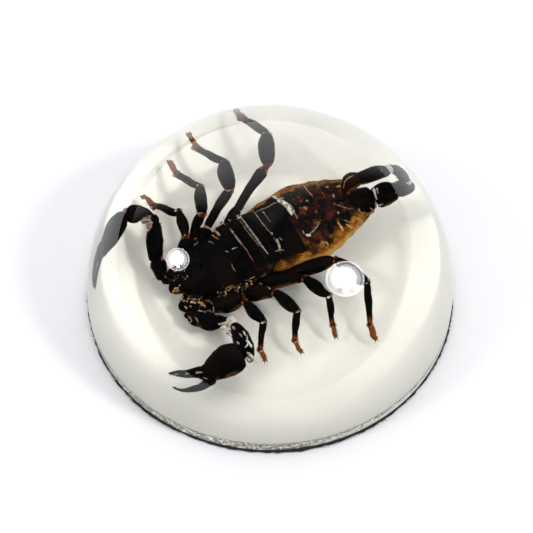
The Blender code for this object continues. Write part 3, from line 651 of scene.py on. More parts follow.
class Look(Graph):
    """A material built from a Principled shader."""

    def __init__(self, name):
        self.material = bpy.data.materials.new(name)
        super().__init__(self.material)
        self.place = self.node("TexCoord", "Object")

    def mark(self, name, share=1.0):
        """A mark of the surface, times a share."""
        return self.times(self.node("Attribute", "Fac", attribute_name=name), share)

    def noise(self, scale, detail, roughness=0.55, distortion=0.0, vector=None):
        inputs = (("Scale", scale), ("Detail", detail), ("Roughness", roughness), ("Distortion", distortion),
                  ("Vector", vector or self.place))
        return self.node("TexNoise", "Fac", inputs)

    def patches(self, scale, detail, low, high, start=0.0, end=1.0, **noise_inputs):
        """Noise from low to high as a share from start to end."""
        return self.curve(self.noise(scale, detail, **noise_inputs), low, high, start, end)

    def bump(self, strength, distance, scale, detail):
        """Normals of a surface made uneven by noise."""
        inputs = (("Strength", strength), ("Distance", distance), ("Height", self.noise(scale, detail)))
        return self.node("Bump", "Normal", inputs)

    def made(self, **inputs):
        """The material, its shader given these inputs."""
        for key, value in inputs.items():
            self.feed(self.nodes["Principled BSDF"].inputs[key.replace("_", " ")], value)
        return self.material


def cuticle_look():
    """Black chitin: faint brown mottling, orange joints, pale skin where marked, and edges partly really
    brown, partly painted glow.
    """
    look = Look("dark_cuticle")
    base = look.mix(look.patches(240.0, 3.0, 0.45, 0.75, end=0.5, roughness=0.5), BLACK, DARK_BROWN)
    # Brown at the edge mark: partly the real brown of margins and finger tips, partly a painted glow of light
    # through thin sides and rims
    edge = look.mark("edge", look.patches(500.0, 5.0, 0.34, 0.52))
    base = look.mix(look.curve(edge, 0.62, 1.0, end=0.6), base, EDGE_BROWN_AND_GLOW)
    base = look.mix(look.mark("warm", look.patches(700.0, 5.0, 0.25, 0.7, start=0.55)), base, ORANGE_BROWN)
    joint = look.mix(look.noise(1400.0, 3.0), ORANGE_BROWN, MEMBRANE)
    base = look.mix(look.mark("soft", look.patches(900.0, 5.0, 0.3, 0.6, start=0.5)), base, joint)
    skin = look.mix(look.patches(800.0, 4.0, 0.35, 0.65), SILVER, MEMBRANE)
    base = look.mix(look.mark("pale", look.patches(1100.0, 5.0, 0.28, 0.5, start=0.35)), base, skin)
    return look.made(Base_Color=base, Specular_IOR_Level=0.02, Normal=look.bump(0.12, 0.00005, 700.0, 2.0),
                     Roughness=look.patches(1500.0, 3.0, 0.3, 0.7, 0.32, 0.55))


def membrane_look():
    """Amber skin of the trunk's sides and rear: black and red-brown mottling over gold."""
    look = Look("amber_skin")
    lie = look.node("Mapping", "Vector", (("Vector", look.place), ("Rotation", (0.0, 0.0, -TRUNK_HEADING)),
                                          ("Scale", (1.0, 2.6, 1.0))))
    streaks = look.patches(520.0, 6.0, 0.4, 0.58, roughness=0.62, distortion=0.6, vector=lie)
    base = look.mix(streaks, AMBER, DARK_AMBER)
    clouds = look.patches(900.0, 5.0, 0.47, 0.6, end=0.9, roughness=0.65, distortion=0.8)
    base = look.mix(clouds, base, DARK_BROWN)
    # Gold at the edge mark: the rear flap's real amber, and along the trunk's sides a painted glow of light
    # through the thin edge
    base = look.mix(look.mark("edge", look.patches(500.0, 4.0, 0.3, 0.55)), base, GOLD)
    swirl = look.patches(420.0, 6.0, 0.28, 0.72, -0.5, 0.5, roughness=0.65, distortion=0.7)
    dark = look.curve(look.math("ADD", look.mark("warm"), swirl), 0.2, 0.8)
    black = look.mix(look.patches(640.0, 5.0, 0.5, 0.72, end=0.6, roughness=0.65), BLACK, RED_BROWN)
    base = look.mix(dark, base, black)
    cells = look.node("TexVoronoi", "Distance", (("Scale", 700.0), ("Vector", look.place)))
    spots = look.times(look.curve(cells, 0.1, 0.26, 1.0, 0.0), look.patches(140.0, 2.0, 0.52, 0.64))
    base = look.mix(look.mark("warm", spots), base, SPOT_RED)
    return look.made(Base_Color=base, Specular_IOR_Level=0.05, Roughness=0.4,
                     Normal=look.bump(0.2, 0.00006, 1200.0, 3.0))


def sliver_look():
    """Dried skin between the plates, dull, rusty, golden or dark where marked."""
    look = Look("pale_skin")
    tone = look.mix(look.patches(1300.0, 5.0, 0.4, 0.62, roughness=0.6), SILVER, TAN)
    tone = look.mix(look.mark("soft", 0.85), tone, DULL)
    tone = look.mix(look.mark("warm"), tone, ORANGE_BROWN)
    tone = look.mix(look.mark("pale"), tone, GOLD)
    tone = look.mix(look.patches(1700.0, 4.0, 0.5, 0.62, end=0.8, roughness=0.6), tone, DARK_BROWN)
    tone = look.mix(look.mark("edge"), tone, DARK_BROWN)
    return look.made(Base_Color=tone, Roughness=0.3, Specular_IOR_Level=0.3,
                     Normal=look.bump(0.4, 0.00008, 2600.0, 4.0))


def resin_look():
    return Look("clear_resin").made(Base_Color=RESIN, Roughness=0.0, IOR=RESIN_IOR, Transmission_Weight=1.0)


def backing_look():
    """Cream resin with faint clouds, and dark specks where marked."""
    look = Look("white_resin")
    base = look.mix(look.patches(28.0, 3.0, 0.3, 0.7), *CREAM)
    base = look.mix(look.patches(900.0, 5.0, 0.55, 0.75, end=0.25, roughness=0.6), base, CREAM_STAIN)
    specks = look.mark("warm", look.patches(1300.0, 6.0, 0.4, 0.54, roughness=0.75))
    return look.made(Base_Color=look.mix(specks, base, SPECK_DARK), Roughness=0.3,
                     Normal=look.bump(0.15, 0.00008, 700.0, 4.0))


def felt_look():
    look = Look("black_felt")
    fuzz = look.patches(2600.0, 6.0, 0.3, 0.7, roughness=0.7)
    return look.made(Base_Color=look.mix(fuzz, *FELT), Roughness=1.0, Specular_IOR_Level=0.1,
                     Sheen_Weight=0.15, Normal=look.bump(0.8, 0.0003, 3200.0, 5.0))


# ---------------------------------------------------------------- dome, backing and felt

def turned(name, profile, sides, material, warm=lambda places: 0.0):
    """A closed solid of revolution from (radius, height) points, bottom to top, both ends on the axis."""
    rings = profile[1:-1]
    places = []
    for radius, height in rings:
        places += [(radius * math.cos(t), radius * math.sin(t), height) for t in turns(sides)]
    places += [(0.0, 0.0, profile[0][1]), (0.0, 0.0, profile[-1][1])]
    form = Form()
    form.add(places, ring_faces(len(rings), sides), warm=warm(np.array(places)))
    return form.make(name, material, sink=False)


def make_dome():
    steps = 72
    angles = [math.pi / 2 * i / steps for i in range(steps)]
    span = DOME_TOP - BACKING_TOP
    arc = [(DOME_RADIUS * math.cos(a), BACKING_TOP + span * math.sin(a)) for a in angles]
    low = BACKING_TOP - 0.06
    profile = [(0.0, low), (DOME_RADIUS * 0.5, low), (DOME_RADIUS, low)] + arc + [(0.0, DOME_TOP)]
    dome = turned("clear_dome", profile, 192, resin_look())
    dome.data.set_sharp_from_angle(angle=math.radians(50.0))
    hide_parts("resin_top", "resin_bottom")
    return dome


def speck_darkening(places):
    """How much dark specks darken the backing: along its upper edge, and all down its side at the lower left.
    """
    x, y, height = places.T
    rim = np.hypot(x, y) - BACKING_RADIUS
    line = ramp(height, BACKING_TOP - 1.7, BACKING_TOP - 0.5)
    lower_left = ramp(np.arctan2(y, x), -0.9, -1.4) * ramp(rim, -0.2, -0.05)
    return np.maximum(line, lower_left) * ramp(rim, -1.0, -0.3)


def make_backing():
    radius, low, top = BACKING_RADIUS, BACKING_LOW, BACKING_TOP
    profile = [(0.0, low), (radius - 0.3, low), (radius - 0.06, low + 0.12), (radius, low + 0.4),
               (radius, top - 0.9), (radius, top - 0.5), (radius, top - 0.25), (radius, top - 0.06),
               (radius - 0.04, top), (radius - 0.4, top), (radius - 1.2, top), (radius - 6.0, top),
               (radius * 0.5, top), (0.0, top)]
    backing = turned("white_base", profile, 256, backing_look(), warm=speck_darkening)
    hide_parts("white_backing")
    return backing


def make_felt():
    """A felt disc whose cut edge is uneven and sheds short fibres."""
    form = Form()
    sides = 420
    top = FELT_TOP - 0.05
    levels = ((0.0, 0.97), (0.0, 0.995), (0.35, 1.0), (0.8, 0.999), (FELT_TOP - 0.08, 0.992), (top, 0.97))
    verts = []
    for height, share in levels:
        for t in turns(sides):
            reach = (FELT_RADIUS + 0.28 * wobble(t, 3.0, 0.4) + 0.3 * wobble(t, 26.0, 1.7)) * share
            if share > 0.985:
                reach += 0.18 * wobble(t, 40.0, height * 3)
            verts.append((reach * math.cos(t), reach * math.sin(t), height))
    form.add(verts + [(0.0, 0.0, 0.0), (0.0, 0.0, top)], ring_faces(len(levels), sides))
    rng = np.random.default_rng(7)
    for _ in range(1500):
        t = rng.uniform(0, 2 * math.pi)
        reach = FELT_RADIUS - 0.15 + 0.28 * wobble(t, 3.0, 0.4)
        start = np.array((reach * math.cos(t), reach * math.sin(t), rng.uniform(0.12, FELT_TOP - 0.15)))
        lean = rng.uniform(-0.9, 0.9)
        length = rng.uniform(0.2, 0.5) * (1.0 + 1.2 * max(0.0, wobble(t, 9.0, 5.0)))
        out = np.array((math.cos(t + lean), math.sin(t + lean), rng.uniform(-0.25, 0.3))) * length
        bend = np.array((-math.sin(t), math.cos(t), 0.0)) * rng.uniform(-0.2, 0.2)
        path = np.array([start, start + out * 0.5 + bend * 0.5, start + out + bend])
        path[:, 2] = np.clip(path[:, 2], 0.04, FELT_TOP)
        form.tube(path, FIBRE, FIBRE, sides=3)
    felt = form.make("felt_disc", felt_look(), sink=False)
    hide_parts("felt_pad")
    return felt


# ---------------------------------------------------------------- scorpion: trunk

def trunk_place(along, across, height=0.0):
    """World place of a spot given along, across and above the trunk's axis."""
    along, across = np.asarray(along, float), np.asarray(across, float)
    narrow = np.exp(-((along - 7.0) / 4.2) ** 4)
    across = across * np.where(across > 0, 1.0 - 0.2 * narrow, 1.0)
    c, s = TRUNK_AHEAD
    x = along * c - across * s
    return TRUNK_FRONT + np.stack([x, along * s + across * c, height + 0 * x], axis=-1)


def trunk_width(along):
    return eased([(x / TRUNK_LENGTH, half) for x, half in TRUNK_WIDTHS], along / TRUNK_LENGTH)


def darkness(along, side):
    """How dark the trunk is at a share of its half-width: black back, amber flanks towards the rear."""
    left_rear = ramp(along, 9.0, 22.0)
    left_reach = 1.4 - 0.4 * left_rear - 0.1 * ramp(along, 25.0, 29.0) + 0.06 * np.sin(along * 1.7)
    right_reach = 1.15 - 0.36 * ramp(along, 15.5, 19.5)
    dark = np.minimum(ramp(right_reach - side, 0.0, 0.12), ramp(left_reach + side, 0.0, 0.3))
    return dark * (1.0 - 0.1 * left_rear)


def back_grid(start, end, spread, lift, rows, columns, flare):
    """Grid of places over the trunk's back from start to end, spread radians to each side."""
    steps, angles = np.linspace(start, end, rows), np.linspace(-spread, spread, columns)
    along, turn = np.meshgrid(steps, angles, indexing="ij")
    share = (along - start) / (end - start)
    wide = trunk_width(along)
    lift = lift + flare * share ** 2
    grid = trunk_place(along, np.sin(turn) * (wide + lift), np.cos(turn) * (wide * TRUNK_FLATNESS + lift))
    return grid, along, share, turn


def make_trunk_core(material):
    """The soft body under the plates: amber at its sides, dark under the back."""
    form = Form()
    count, sides = 140, 96
    along, turn = np.meshgrid(np.linspace(0.0, TRUNK_LENGTH, count), turns(sides), indexing="ij")
    wide = trunk_width(along) * rounded(along / TRUNK_LENGTH, 0.03, 0.03)
    side = -np.cos(turn)
    rings = trunk_place(along, side * wide, np.sin(turn) * wide * TRUNK_FLATNESS).reshape(-1, 3)
    ends = trunk_place((0.0, TRUNK_LENGTH), (0.0, 0.0))
    # A thin gold line along the trunk's sides towards the rear: painted glow of light through its thin edge
    rim = ramp(np.abs(side), 0.95, 0.99) * ramp(along, 16.0, 22.0)
    form.add([*rings, *ends], ring_faces(count, sides), edge=np.append(rim, [0.0, 0.0]),
             warm=np.append(darkness(along, side), [1.0, 0.5]))
    limb(form, REAR_LAPPET, high=0.6, keel=0.0, warm=lambda share: 0.3 + 0.4 * share, edge=0.9)
    form.roughen(0.22, 0.55, 3.0)
    form.roughen(0.08, 2.3, 9.0)
    return form.make("scorpion_trunk", material)


def make_carapace(material):
    """The head shield: granular, notched in front, with a pair of eyes on its middle."""
    form = Form()
    rows, columns = 60, 84
    spread = 1.32
    grid, _, share, turn = back_grid(0.9, CARAPACE_END, spread, 0.22, rows, columns, flare=0.05)
    grid[..., :2] += (0.9 * hump(turn, 0.28) * (1 - share) ** 6)[..., None] * TRUNK_AHEAD
    bulge = 0.5 * np.sin(share * math.pi) * np.cos(turn) ** 2
    groove = 0.22 * hump(turn, 0.06) * np.clip(share * 1.4, 0, 1)
    hollow = 0.3 * hump(share - 0.78, 0.07) * np.cos(turn) ** 2
    grid[..., 2] += bulge - groove - hollow
    form.shell(grid, 0.3, edge=ramp(np.abs(turn) / spread, 0.8, 1.0))
    for x, y, _ in trunk_place((5.2, 5.2), (-0.42, 0.42)):
        form.ball((x, y, grid[..., 2].max() - 0.35), (0.36, 0.36, 0.42))
    for side in (-1, 1):
        for k in range(3):
            form.ball(trunk_place(1.9 + 0.45 * k, side * (2.5 + 0.3 * k), 1.35), 0.17)
    rng = np.random.default_rng(3)
    for _ in range(260):
        i, j = rng.integers(4, rows - 2), rng.integers(4, columns - 4)
        form.ball(grid[i, j], rng.uniform(0.06, 0.12), sides=6)
    form.roughen(0.07, 1.7, 4.0)
    return form.make("carapace", material)


def make_plates(dark, skin):
    """Seven back plates, each overlapping the next, the rear ones thin, mottled and amber at the sides."""
    made = []
    sideways = (trunk_place(0, 1) - trunk_place(0, 0))[:2]
    for number, (start, end) in enumerate(PLATES):
        form = Form()
        front = number <= LAST_DARK_PLATE
        spread, lift = (0.95, 0.2) if front else (1.1, 0.1)
        grid, along, share, turn = back_grid(start, end, spread, lift, 24, 80, flare=0.12)
        grid[..., 2] += 0.1 * hump(turn, 0.07)
        wave = np.sin(along * 2.3 + number) * 0.05 + np.sin(along * 5.1) * 0.025
        grid[..., :2] += sideways * (wave * np.sin(turn) * 3)[..., None]
        if front:
            form.shell(grid, 0.22, edge=0.6 * ramp(np.abs(turn) / spread, 0.85, 1.0))
        else:
            bared = 0.4 * ramp(share, 0.93, 1.0) * (turn > 0.25)
            band = 0.5 * ramp(along, 25.5, 22.5) * ramp(np.abs(turn), 0.8, 0.6)
            form.shell(grid, 0.14, warm=darkness(along, np.sin(turn)) * (1.0 - bared) + band)
        form.roughen(0.06, 1.9, 5.0 + number)
        made.append(form.make("back_plate_%d" % (number + 1), dark if front else skin))
    return made


def sliver(form, line, half, height, **marks):
    """A thin crumpled strip of dried skin lying along a line."""
    path = smooth_path(line, 34)
    share = np.linspace(0, 1, 34)
    jag = 1.0 + 0.4 * np.array([noise.noise(Vector(p) * 2.3) for p in path])
    wide = half * rounded(share, 0.3, 0.3) * jag + 0.015
    form.tube(path, wide, height * rounded(share, 0.25, 0.25) + 0.015, sides=10, **marks)


def on_back(along, across):
    """Place on the trunk's back, just above its surface."""
    wide = trunk_width(along)
    up = TRUNK_FLATNESS * wide * math.sqrt(max(0.0, 1 - (across / wide) ** 2))
    return trunk_place(along, across, up + 0.3)


def make_gaps(material):
    """Pale skin and trapped air that shows between the back plates."""
    form = Form()
    for half, warm, places in GAPS:
        line = [on_back(*place) for place in places]
        sliver(form, line, half * 0.85, min(0.1, half), warm=warm, soft=ramp(half, 0.3, 0.18))
    form.roughen(0.08, 2.4, 2.0)
    return form.make("plate_gaps", material)


def make_flecks(material):
    """Bits of pale skin, joints and spots of colour on the limbs, head and rear."""
    form = Form()
    for kind, flecks in FLECKS.items():
        for half, places in flecks:
            sliver(form, places, half, min(0.16, half), **FLECK_MARKS[kind])
    rng = np.random.default_rng(17)
    for start, end, spread, amount in CRUMBS:
        for _ in range(amount):
            spot = start + np.subtract(end, start) * rng.uniform() + rng.normal(0, spread, 3)
            kind = rng.choice(list(CRUMB_KINDS), p=list(CRUMB_KINDS.values()))
            form.ball(spot, rng.uniform(0.07, 0.2, 3), sides=7, **FLECK_MARKS[kind])
    form.roughen(0.1, 2.4, 5.0)
    return form.make("flecks", material)


# ---------------------------------------------------------------- scorpion: limbs

def course(stations, count):
    """Smooth run of (x, y, z, half-width) a little beyond its stations, closer spaced at both ends."""
    stations = [np.array(station, float) for station in stations]
    for end, near in ((0, 1), (-1, -2)):
        out = unit(stations[end][:3] - stations[near][:3]) * SEGMENT_OVERLAP
        stations[end] = stations[end] + np.append(out, 0.0)
    fine = smooth_path(stations, 160)
    share = 0.5 - 0.5 * np.cos(np.linspace(0, math.pi, count))
    run = np.stack([np.interp(share, np.linspace(0, 1, 160), values) for values in fine.T], axis=1)
    return share, run[:, :3], run[:, 3]


def limb(form, stations, high=0.9, count=30, sides=22, bow=0.1, keel=0.08, caps=(0.09, 0.09),
         keel_at=KEELS, bulk=1.0, **marks):
    """One limb segment through its stations; gives back its path and half-widths."""
    share, path, wide = course(stations, count)
    path[:, 2] += bow * np.sin(share * math.pi)
    wide = np.maximum(wide * bulk, 0.06) * rounded(share, *caps) + 0.01
    marks = {mark: value(share) if callable(value) else value for mark, value in marks.items()}
    form.tube(path, wide, wide * high, sides=sides, keel=keel, keel_at=keel_at, **marks)
    return path, wide


def segment(form, name, piece, **shape):
    """A named segment of a limb, its height running evenly from one end to the other."""
    low, top, stations = LIMBS[name][piece]
    heights = np.linspace(low, top, len(stations))
    return limb(form, [(x, y, z, half) for (x, y, half), z in zip(stations, heights)], **shape)


def claws(form, tip, heading, size):
    """Two small hooked claws at a leg's tip."""
    side = unit(np.cross(heading, UP))
    thick = np.linspace(0.17, 0.03, 8)
    for hand in (-1, 1):
        out = unit(heading + side * 0.6 * hand) * size
        path = smooth_path([tip, tip + out * 0.55 + (0.0, 0.0, 0.1), tip + out - (0.0, 0.0, 0.22)], 8)
        form.tube(path, thick, thick, sides=7, warm=0.8)


def bristles(form, rng, ends, reach, amount, length):
    """Fine hairs standing off a segment between its two ends."""
    start, end = (np.array(place[:3], float) for place in ends)
    heading = unit(end - start)
    side = unit(np.cross(heading, UP))
    top = np.cross(side, heading)
    for _ in range(amount):
        turn = rng.uniform(0, 2 * math.pi)
        out = side * math.cos(turn) + top * math.sin(turn)
        root = start + (end - start) * rng.uniform(0.05, 0.95) + out * reach * 0.85
        tip = root + unit(out + heading * rng.uniform(0.1, 0.8)) * length * rng.uniform(0.6, 1.2)
        form.tube(np.array([root, (root + tip) / 2 + out * 0.03, tip]), BRISTLE, BRISTLE, sides=3, warm=0.5)


def flank(path, sign):
    """Direction out of each place of a path, to its right for +1 and to its left for -1."""
    return unit(np.cross(unit(np.gradient(path, axis=0)), UP)) * sign


def spots_along(path, amount, margin):
    """Indices of places spread evenly along a segment, but for a margin at each end."""
    for k in range(amount):
        share = margin + (1 - 2 * margin) * k / (amount - 1)
        yield round(math.acos(1 - 2 * share) / math.pi * (len(path) - 1))


def spines(form, path, wide, sign, amount, size):
    """A row of short conical spines along one edge of a segment."""
    out = flank(path, sign)
    for k, i in enumerate(spots_along(path, amount, 0.1)):
        root = path[i] + out[i] * (wide[i] - 0.12)
        tip = root + out[i] * size * (0.8 + 0.2 * ((k * 7) % 3))
        form.tube(np.array([root, (root + tip) / 2, tip]), SPINE, SPINE, sides=7)


def grains(form, path, wide, high, keels, amount, size):
    """Rows of rounded grains along the keels of a segment."""
    side = flank(path, 1)
    top = np.cross(side, unit(np.gradient(path, axis=0)))
    for turn in keels:
        for k, i in enumerate(spots_along(path, amount, 0.06)):
            out = side[i] * math.cos(turn) * wide[i] + top[i] * math.sin(turn) * wide[i] * high
            form.ball(path[i] + out, size * (0.85 + 0.15 * ((k * 5) % 3)), sides=8)


def make_leg(name, material):
    form = Form()
    start, end, half = COXAE[name]
    middle = np.add(start, end) / 2
    limb(form, ((*start, half), (*middle, half * 1.05), (*end, half * 0.9)), keel=0.04)
    if "trochanter" in LIMBS[name]:
        segment(form, name, "trochanter", bulk=1.25, keel=0.04)
    else:
        form.ball(end, half * 0.85, sides=16)
    paths = [segment(form, name, piece, **shape)[0] for piece, shape in LEG_SHAPES.items()]
    femur, patella, tibia, foot = paths
    for a, b in ((femur[-2], patella[2]), (patella[-2], tibia[2]), (tibia[-2], foot[2])):
        joint = ((*a, 0.5), (*(a + b) / 2, 0.52), (*b, 0.5))
        limb(form, joint, count=12, sides=14, keel=0.0, bow=0.0, warm=0.15)
    skins = ((femur[0], 0.6, {"soft": 0.7}), (femur[-1], 0.42, {"pale": 0.8}),
             (patella[-1], 0.45, {"soft": 0.6}), (tibia[-1], 0.42, {"soft": 0.9, "warm": 0.8}))
    for spot, size, marks in skins:
        form.ball(spot, size, sides=12, **marks)
    knuckles = ((femur, -2, 0.34, {"warm": 1.0}), (patella, -2, 0.34, {"pale": 0.8}),
                (patella, 2, 0.3, {"warm": 0.9}), (tibia, -2, 0.3, {"soft": 1.0}))
    for path, i, size, marks in knuckles:
        for sign in (-1, 1):
            form.ball(path[i] + flank(path, sign)[i] * 0.42, size, sides=10, **marks)
    toe = unit(foot[-1] - foot[0])
    for hand in (-1, 1):
        lobe = foot[-1] - toe * 0.25 + flank(foot, hand)[-1] * 0.2
        form.ball(lobe, (0.24, 0.3, 0.24), sides=10, warm=0.7)
    claws(form, foot[-1] - toe * 0.2, toe, 0.6)
    rng = np.random.default_rng(sum(map(ord, name)))
    bristles(form, rng, foot[[0, -1]], 0.42, 26, 0.4)
    bristles(form, rng, tibia[[0, -1]], 0.6, 16, 0.4)
    form.roughen(0.05, 1.3, 6.0)
    return form.make("leg_" + name, material)


def make_arm(side, material):
    """Claw arm from the mouth to the wrist."""
    form = Form()
    name = "arm_" + side
    right = side == "right"
    limb(form, ARM_COXAE[side], high=0.8, sides=26, keel=0.04)
    trochanter, wide = segment(form, name, "trochanter", sides=28, keel=0.05)
    spines(form, trochanter, wide, -1, 6, 0.3)
    femur, wide = segment(form, name, "femur", high=0.8, count=40, sides=28)
    for sign in (-1, 1):
        spines(form, femur, wide, sign, 12, 0.32)
    grains(form, femur, wide, 0.8, (1.0, 2.1), 14, 0.13)
    patella, wide = segment(form, name, "patella", high=0.8, count=40, sides=28)
    spines(form, patella, wide, 1 if right else -1, 8, 0.16)
    grains(form, patella, wide, 0.8, (1.0, 2.1), 12, 0.12)
    if right:
        bend = ((*femur[-6], 0.6), (*(femur[-1] + patella[0]) / 2, 0.55), (*patella[6], 0.8))
        limb(form, bend, high=0.8, keel=0.04)
        for shift, size in (((-1.7, 0.1, -0.3), (0.9, 0.75, 0.5)), ((-1.1, -0.9, -0.5), (0.6, 0.7, 0.5))):
            form.ball(femur[-1] + shift, size, sides=16, soft=0.9)
    else:
        form.ball(patella[0], (1.0, 1.15, 0.9), sides=16, pale=0.9)
    form.ball(patella[-1], 0.7, sides=16, soft=0.4)
    form.ball(femur[0], 0.55, sides=16)
    rng = np.random.default_rng(11 if right else 12)
    bristles(form, rng, trochanter[[0, -1]], 1.3, 18, 1.0)
    form.roughen(0.1, 1.0, 8.0)
    return form.make("claw_arm_" + side, material)


def make_hand(side, material):
    """Swollen hand with its fixed finger and the finger that closes on it."""
    form = Form()
    name = "arm_" + side
    ridges = tuple(math.pi * k / 6 for k in range(7))
    palm, wide = segment(form, name, "hand", high=0.72, count=60, sides=52, keel=0.03, keel_at=ridges,
                         caps=(0.1, 0.06))
    grains(form, palm, wide, 0.72, (0.9, 1.57, 2.24), 14, 0.1)
    for finger, teeth in (("finger_in", TEETH[side]), ("finger_out", -TEETH[side])):
        path, wide = segment(form, name, finger, high=0.95, count=44, sides=24, keel=0.05,
                             edge=0.15 + 0.35 * np.linspace(0, 1, 44))
        out = flank(path, teeth)
        for k in range(8, 38, 2):
            form.ball(path[k] + out[k] * wide[k] * 0.92, 0.13 + 0.05 * (k % 4 == 0), sides=8)
    bristles(form, np.random.default_rng(21), palm[[10, -10]], 1.7, 20, 0.6)
    form.roughen(0.06, 1.4, 2.5)
    return form.make("claw_" + side, material)


def make_chelicerae(material):
    """Two stout mouth parts with hairs."""
    form = Form()
    rng = np.random.default_rng(5)
    for stations in CHELICERAE:
        path, _ = limb(form, stations, high=0.85, sides=28, keel=0.03, caps=(0.1, 0.2))
        bristles(form, rng, path[[10, -1]], 0.9, 24, 0.5)
    form.roughen(0.1, 1.1, 7.0)
    return form.make("chelicerae", material)


def make_tail(material):
    """Five tail segments with granular keels, pale skin between them, and the sting."""
    form = Form()
    limb(form, TAIL_FIRST, high=0.85, count=40, sides=36, keel=0.03, caps=(0.2, 0.16), edge=0.2)
    paths = []
    for name in LIMBS["tail"]:
        path, wide = segment(form, "tail", name, high=0.9, count=40, sides=32, bow=0.05, keel=0.07,
                             caps=(0.07, 0.07))
        grains(form, path, wide, 0.9, (0.0, 0.75, 2.4, math.pi), 12, 0.13)
        paths.append(path)
    for path, after in zip(paths, paths[1:]):
        form.ball((path[-1] + after[0]) / 2, 0.95, sides=16, pale=0.8)
    limb(form, STING, high=0.95, count=44, sides=28, keel=0.0, caps=(0.12, 0.03), bow=0.0, warm=0.06)
    bristles(form, np.random.default_rng(31), (STING[0], STING[2]), 1.2, 24, 0.6)
    form.roughen(0.08, 1.2, 12.0)
    return form.make("tail", material)


def make_scorpion():
    dark, skin, pale = cuticle_look(), membrane_look(), sliver_look()
    pieces = [make_trunk_core(skin), make_carapace(dark), make_gaps(pale), make_flecks(pale)]
    pieces += make_plates(dark, skin)
    pieces += [make_leg(name, dark) for name in COXAE]
    pieces += [make_arm(side, dark) for side in TEETH]
    pieces += [make_hand(side, dark) for side in TEETH]
    pieces += [make_chelicerae(dark), make_tail(dark)]
    for piece in pieces:
        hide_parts("scorpion")
    return pieces


# ---------------------------------------------------------------- stage

def make_camera():
    forward = Vector((0.0, math.cos(CAMERA_ELEVATION), -math.sin(CAMERA_ELEVATION)))
    upward = Vector((0.0, math.sin(CAMERA_ELEVATION), math.cos(CAMERA_ELEVATION)))
    right, down = ((PHOTO_SIZE / 2 - pixel) / FOCAL_PIXELS for pixel in AIM_PIXEL)
    aim = forward + Vector((1.0, 0.0, 0.0)) * right - upward * down
    camera = placed("camera", bpy.data.cameras.new("camera"))
    camera.location = Vector((0.0, 0.0, AIM_HEIGHT)) - forward * CAMERA_DISTANCE
    camera.rotation_euler = aim.to_track_quat("-Z", "Y").to_euler()
    camera.data.sensor_width = 36.0
    camera.data.lens = FOCAL_PIXELS / PHOTO_SIZE * camera.data.sensor_width
    camera.data.clip_start = 0.01
    bpy.context.scene.camera = camera


def disc_light(name, toward, width, radiance, distance):
    """A round flat lamp that faces the dome from a direction, its width given as an angle."""
    toward = Vector(toward).normalized()
    data = bpy.data.lights.new(name, "AREA")
    data.shape = "DISK"
    data.size = distance * width
    data.energy = radiance * math.pi ** 2 * (data.size / 2) ** 2
    made = placed(name, data)
    made.location = toward * distance
    made.rotation_euler = toward.to_track_quat("Z", "Y").to_euler()
    made.visible_camera = False
    return made


def lamp_face(light, rows):
    """A lamp's face as the dome mirrors it: white core, softer dish, thin ring, two dark spots, a bulb."""
    graph = Graph(light.data)
    face = graph.node("NewGeometry", "Parametric")
    turned_face = graph.node("CombineXYZ", 0, (
        (axis, graph.math("ADD", graph.vector("DOT_PRODUCT", face, (a, b, 0.0)), shift))
        for axis, (a, b, shift) in enumerate(rows)))
    strength = 0.0
    for x, y, near, far, target in LAMP_SPOTS:
        gap = graph.vector("DISTANCE", turned_face, (x, y, 0.0))
        strength = graph.blend(graph.curve(gap, near, far, 1.0, 0.0, "SMOOTHSTEP"), strength, target)
    graph.feed(graph.nodes["Emission"].inputs["Strength"], strength)


def make_lamps():
    for name, lamp in LAMPS.items():
        light = disc_light(name, *lamp["light"], LAMP_DISTANCE)
        light.visible_glossy = False
        light.data.cycles.is_caustics_light = True
        face = disc_light(name + "_face", *lamp["face"], LAMP_DISTANCE * 0.9)
        face.visible_diffuse = False
        face.visible_transmission = False
        lamp_face(face, lamp["turn"])


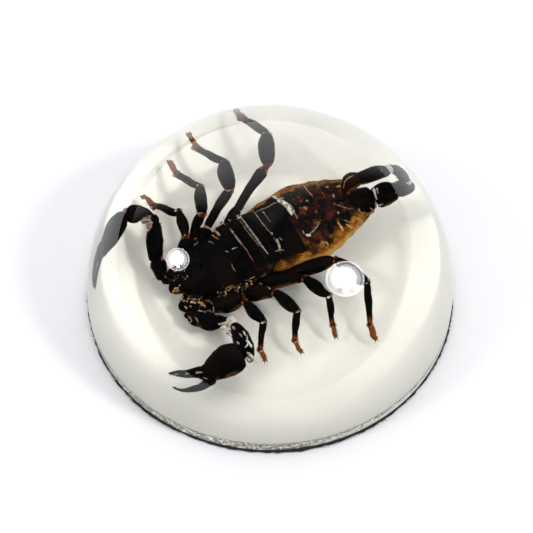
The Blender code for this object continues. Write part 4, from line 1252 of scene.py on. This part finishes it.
def make_world():
    """White surroundings that light everything, but a dark room with a lit backdrop in reflections."""
    world = bpy.data.worlds.new("studio")
    bpy.context.scene.world = world
    graph = Graph(world)
    place = graph.node("TexCoord", "Generated")
    level = graph.vector("NORMALIZE", graph.vector("MULTIPLY", place, (1.0, 1.0, 0.0)))
    height = graph.vector("DOT_PRODUCT", place, UP)
    ahead = graph.vector("DOT_PRODUCT", level, BACKDROP_TOWARD)
    backdrop = graph.times(graph.curve(ahead, 0.6, 0.88, 0.0, BACKDROP_RADIANCE, "SMOOTHSTEP"),
                           graph.curve(height, 0.55, 0.98, 1.0, 0.1, "SMOOTHSTEP"))
    glossy, reflected = (graph.node("LightPath", ray) for ray in ("Is Glossy Ray", "Is Reflection Ray"))
    toward = graph.vector("DOT_PRODUCT", place, WORLD_TOWARD)
    room = graph.curve(toward, -0.9, 0.9, *WORLD_RADIANCE, "SMOOTHSTEP")
    background = graph.nodes["Background"].inputs
    background["Color"].default_value = WORLD_TINT
    graph.feed(background["Strength"], graph.blend(graph.times(glossy, reflected), room, backdrop))


def sheet(name, corners, faces, material, height):
    """A flat sheet at a height above the table, in metres."""
    mesh = bpy.data.meshes.new(name)
    mesh.from_pydata([(x, y, 0) for x, y in corners], [], faces)
    mesh.materials.append(material)
    made = placed(name, mesh)
    made.location.z = height
    return made


def make_floor():
    look = Look("floor")
    tone = look.mix(look.noise(6.0, 2.0), *TABLE)
    table = look.made(Base_Color=tone, Roughness=0.9, Specular_IOR_Level=0.2)
    far = FLOOR_REACH
    corners = ((-far, -far), (far, -far), (far, far), (-far, far))
    floor = sheet("floor", corners, [(0, 1, 2, 3)], table, -0.00002)


def make_flag():
    """Black card on the floor in front and at the left, seen only in reflections, to keep them dark."""
    card = Look("flag").made(Base_Color=(0, 0, 0, 1), Specular_IOR_Level=0.0, Roughness=1.0)
    far = FLOOR_REACH
    corners = ((-far, -far), (far, -far), (far, FLAG_FRONT), (-far, FLAG_FRONT),
               (-far, far), (FLAG_LEFT, far), (FLAG_LEFT, FLAG_FRONT))
    flag = sheet("flag", corners, [(0, 1, 2, 6, 3), (3, 6, 5, 4)], card, 0.0002)
    for kind in ("camera", "diffuse", "transmission", "shadow"):
        setattr(flag, "visible_" + kind, False)


def main():
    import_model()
    noise.seed_set(NOISE_SEED)
    bpy.context.scene.view_settings.view_transform = "Standard"
    pieces = [make_dome(), make_backing(), make_felt()] + make_scorpion()
    for piece in pieces:
        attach(piece, "root")
        piece.cycles.is_caustics_caster = piece.name == "clear_dome"
        piece.cycles.is_caustics_receiver = piece.name != "clear_dome"
    make_camera()
    make_lamps()
    make_world()
    make_floor()
    make_flag()


main()
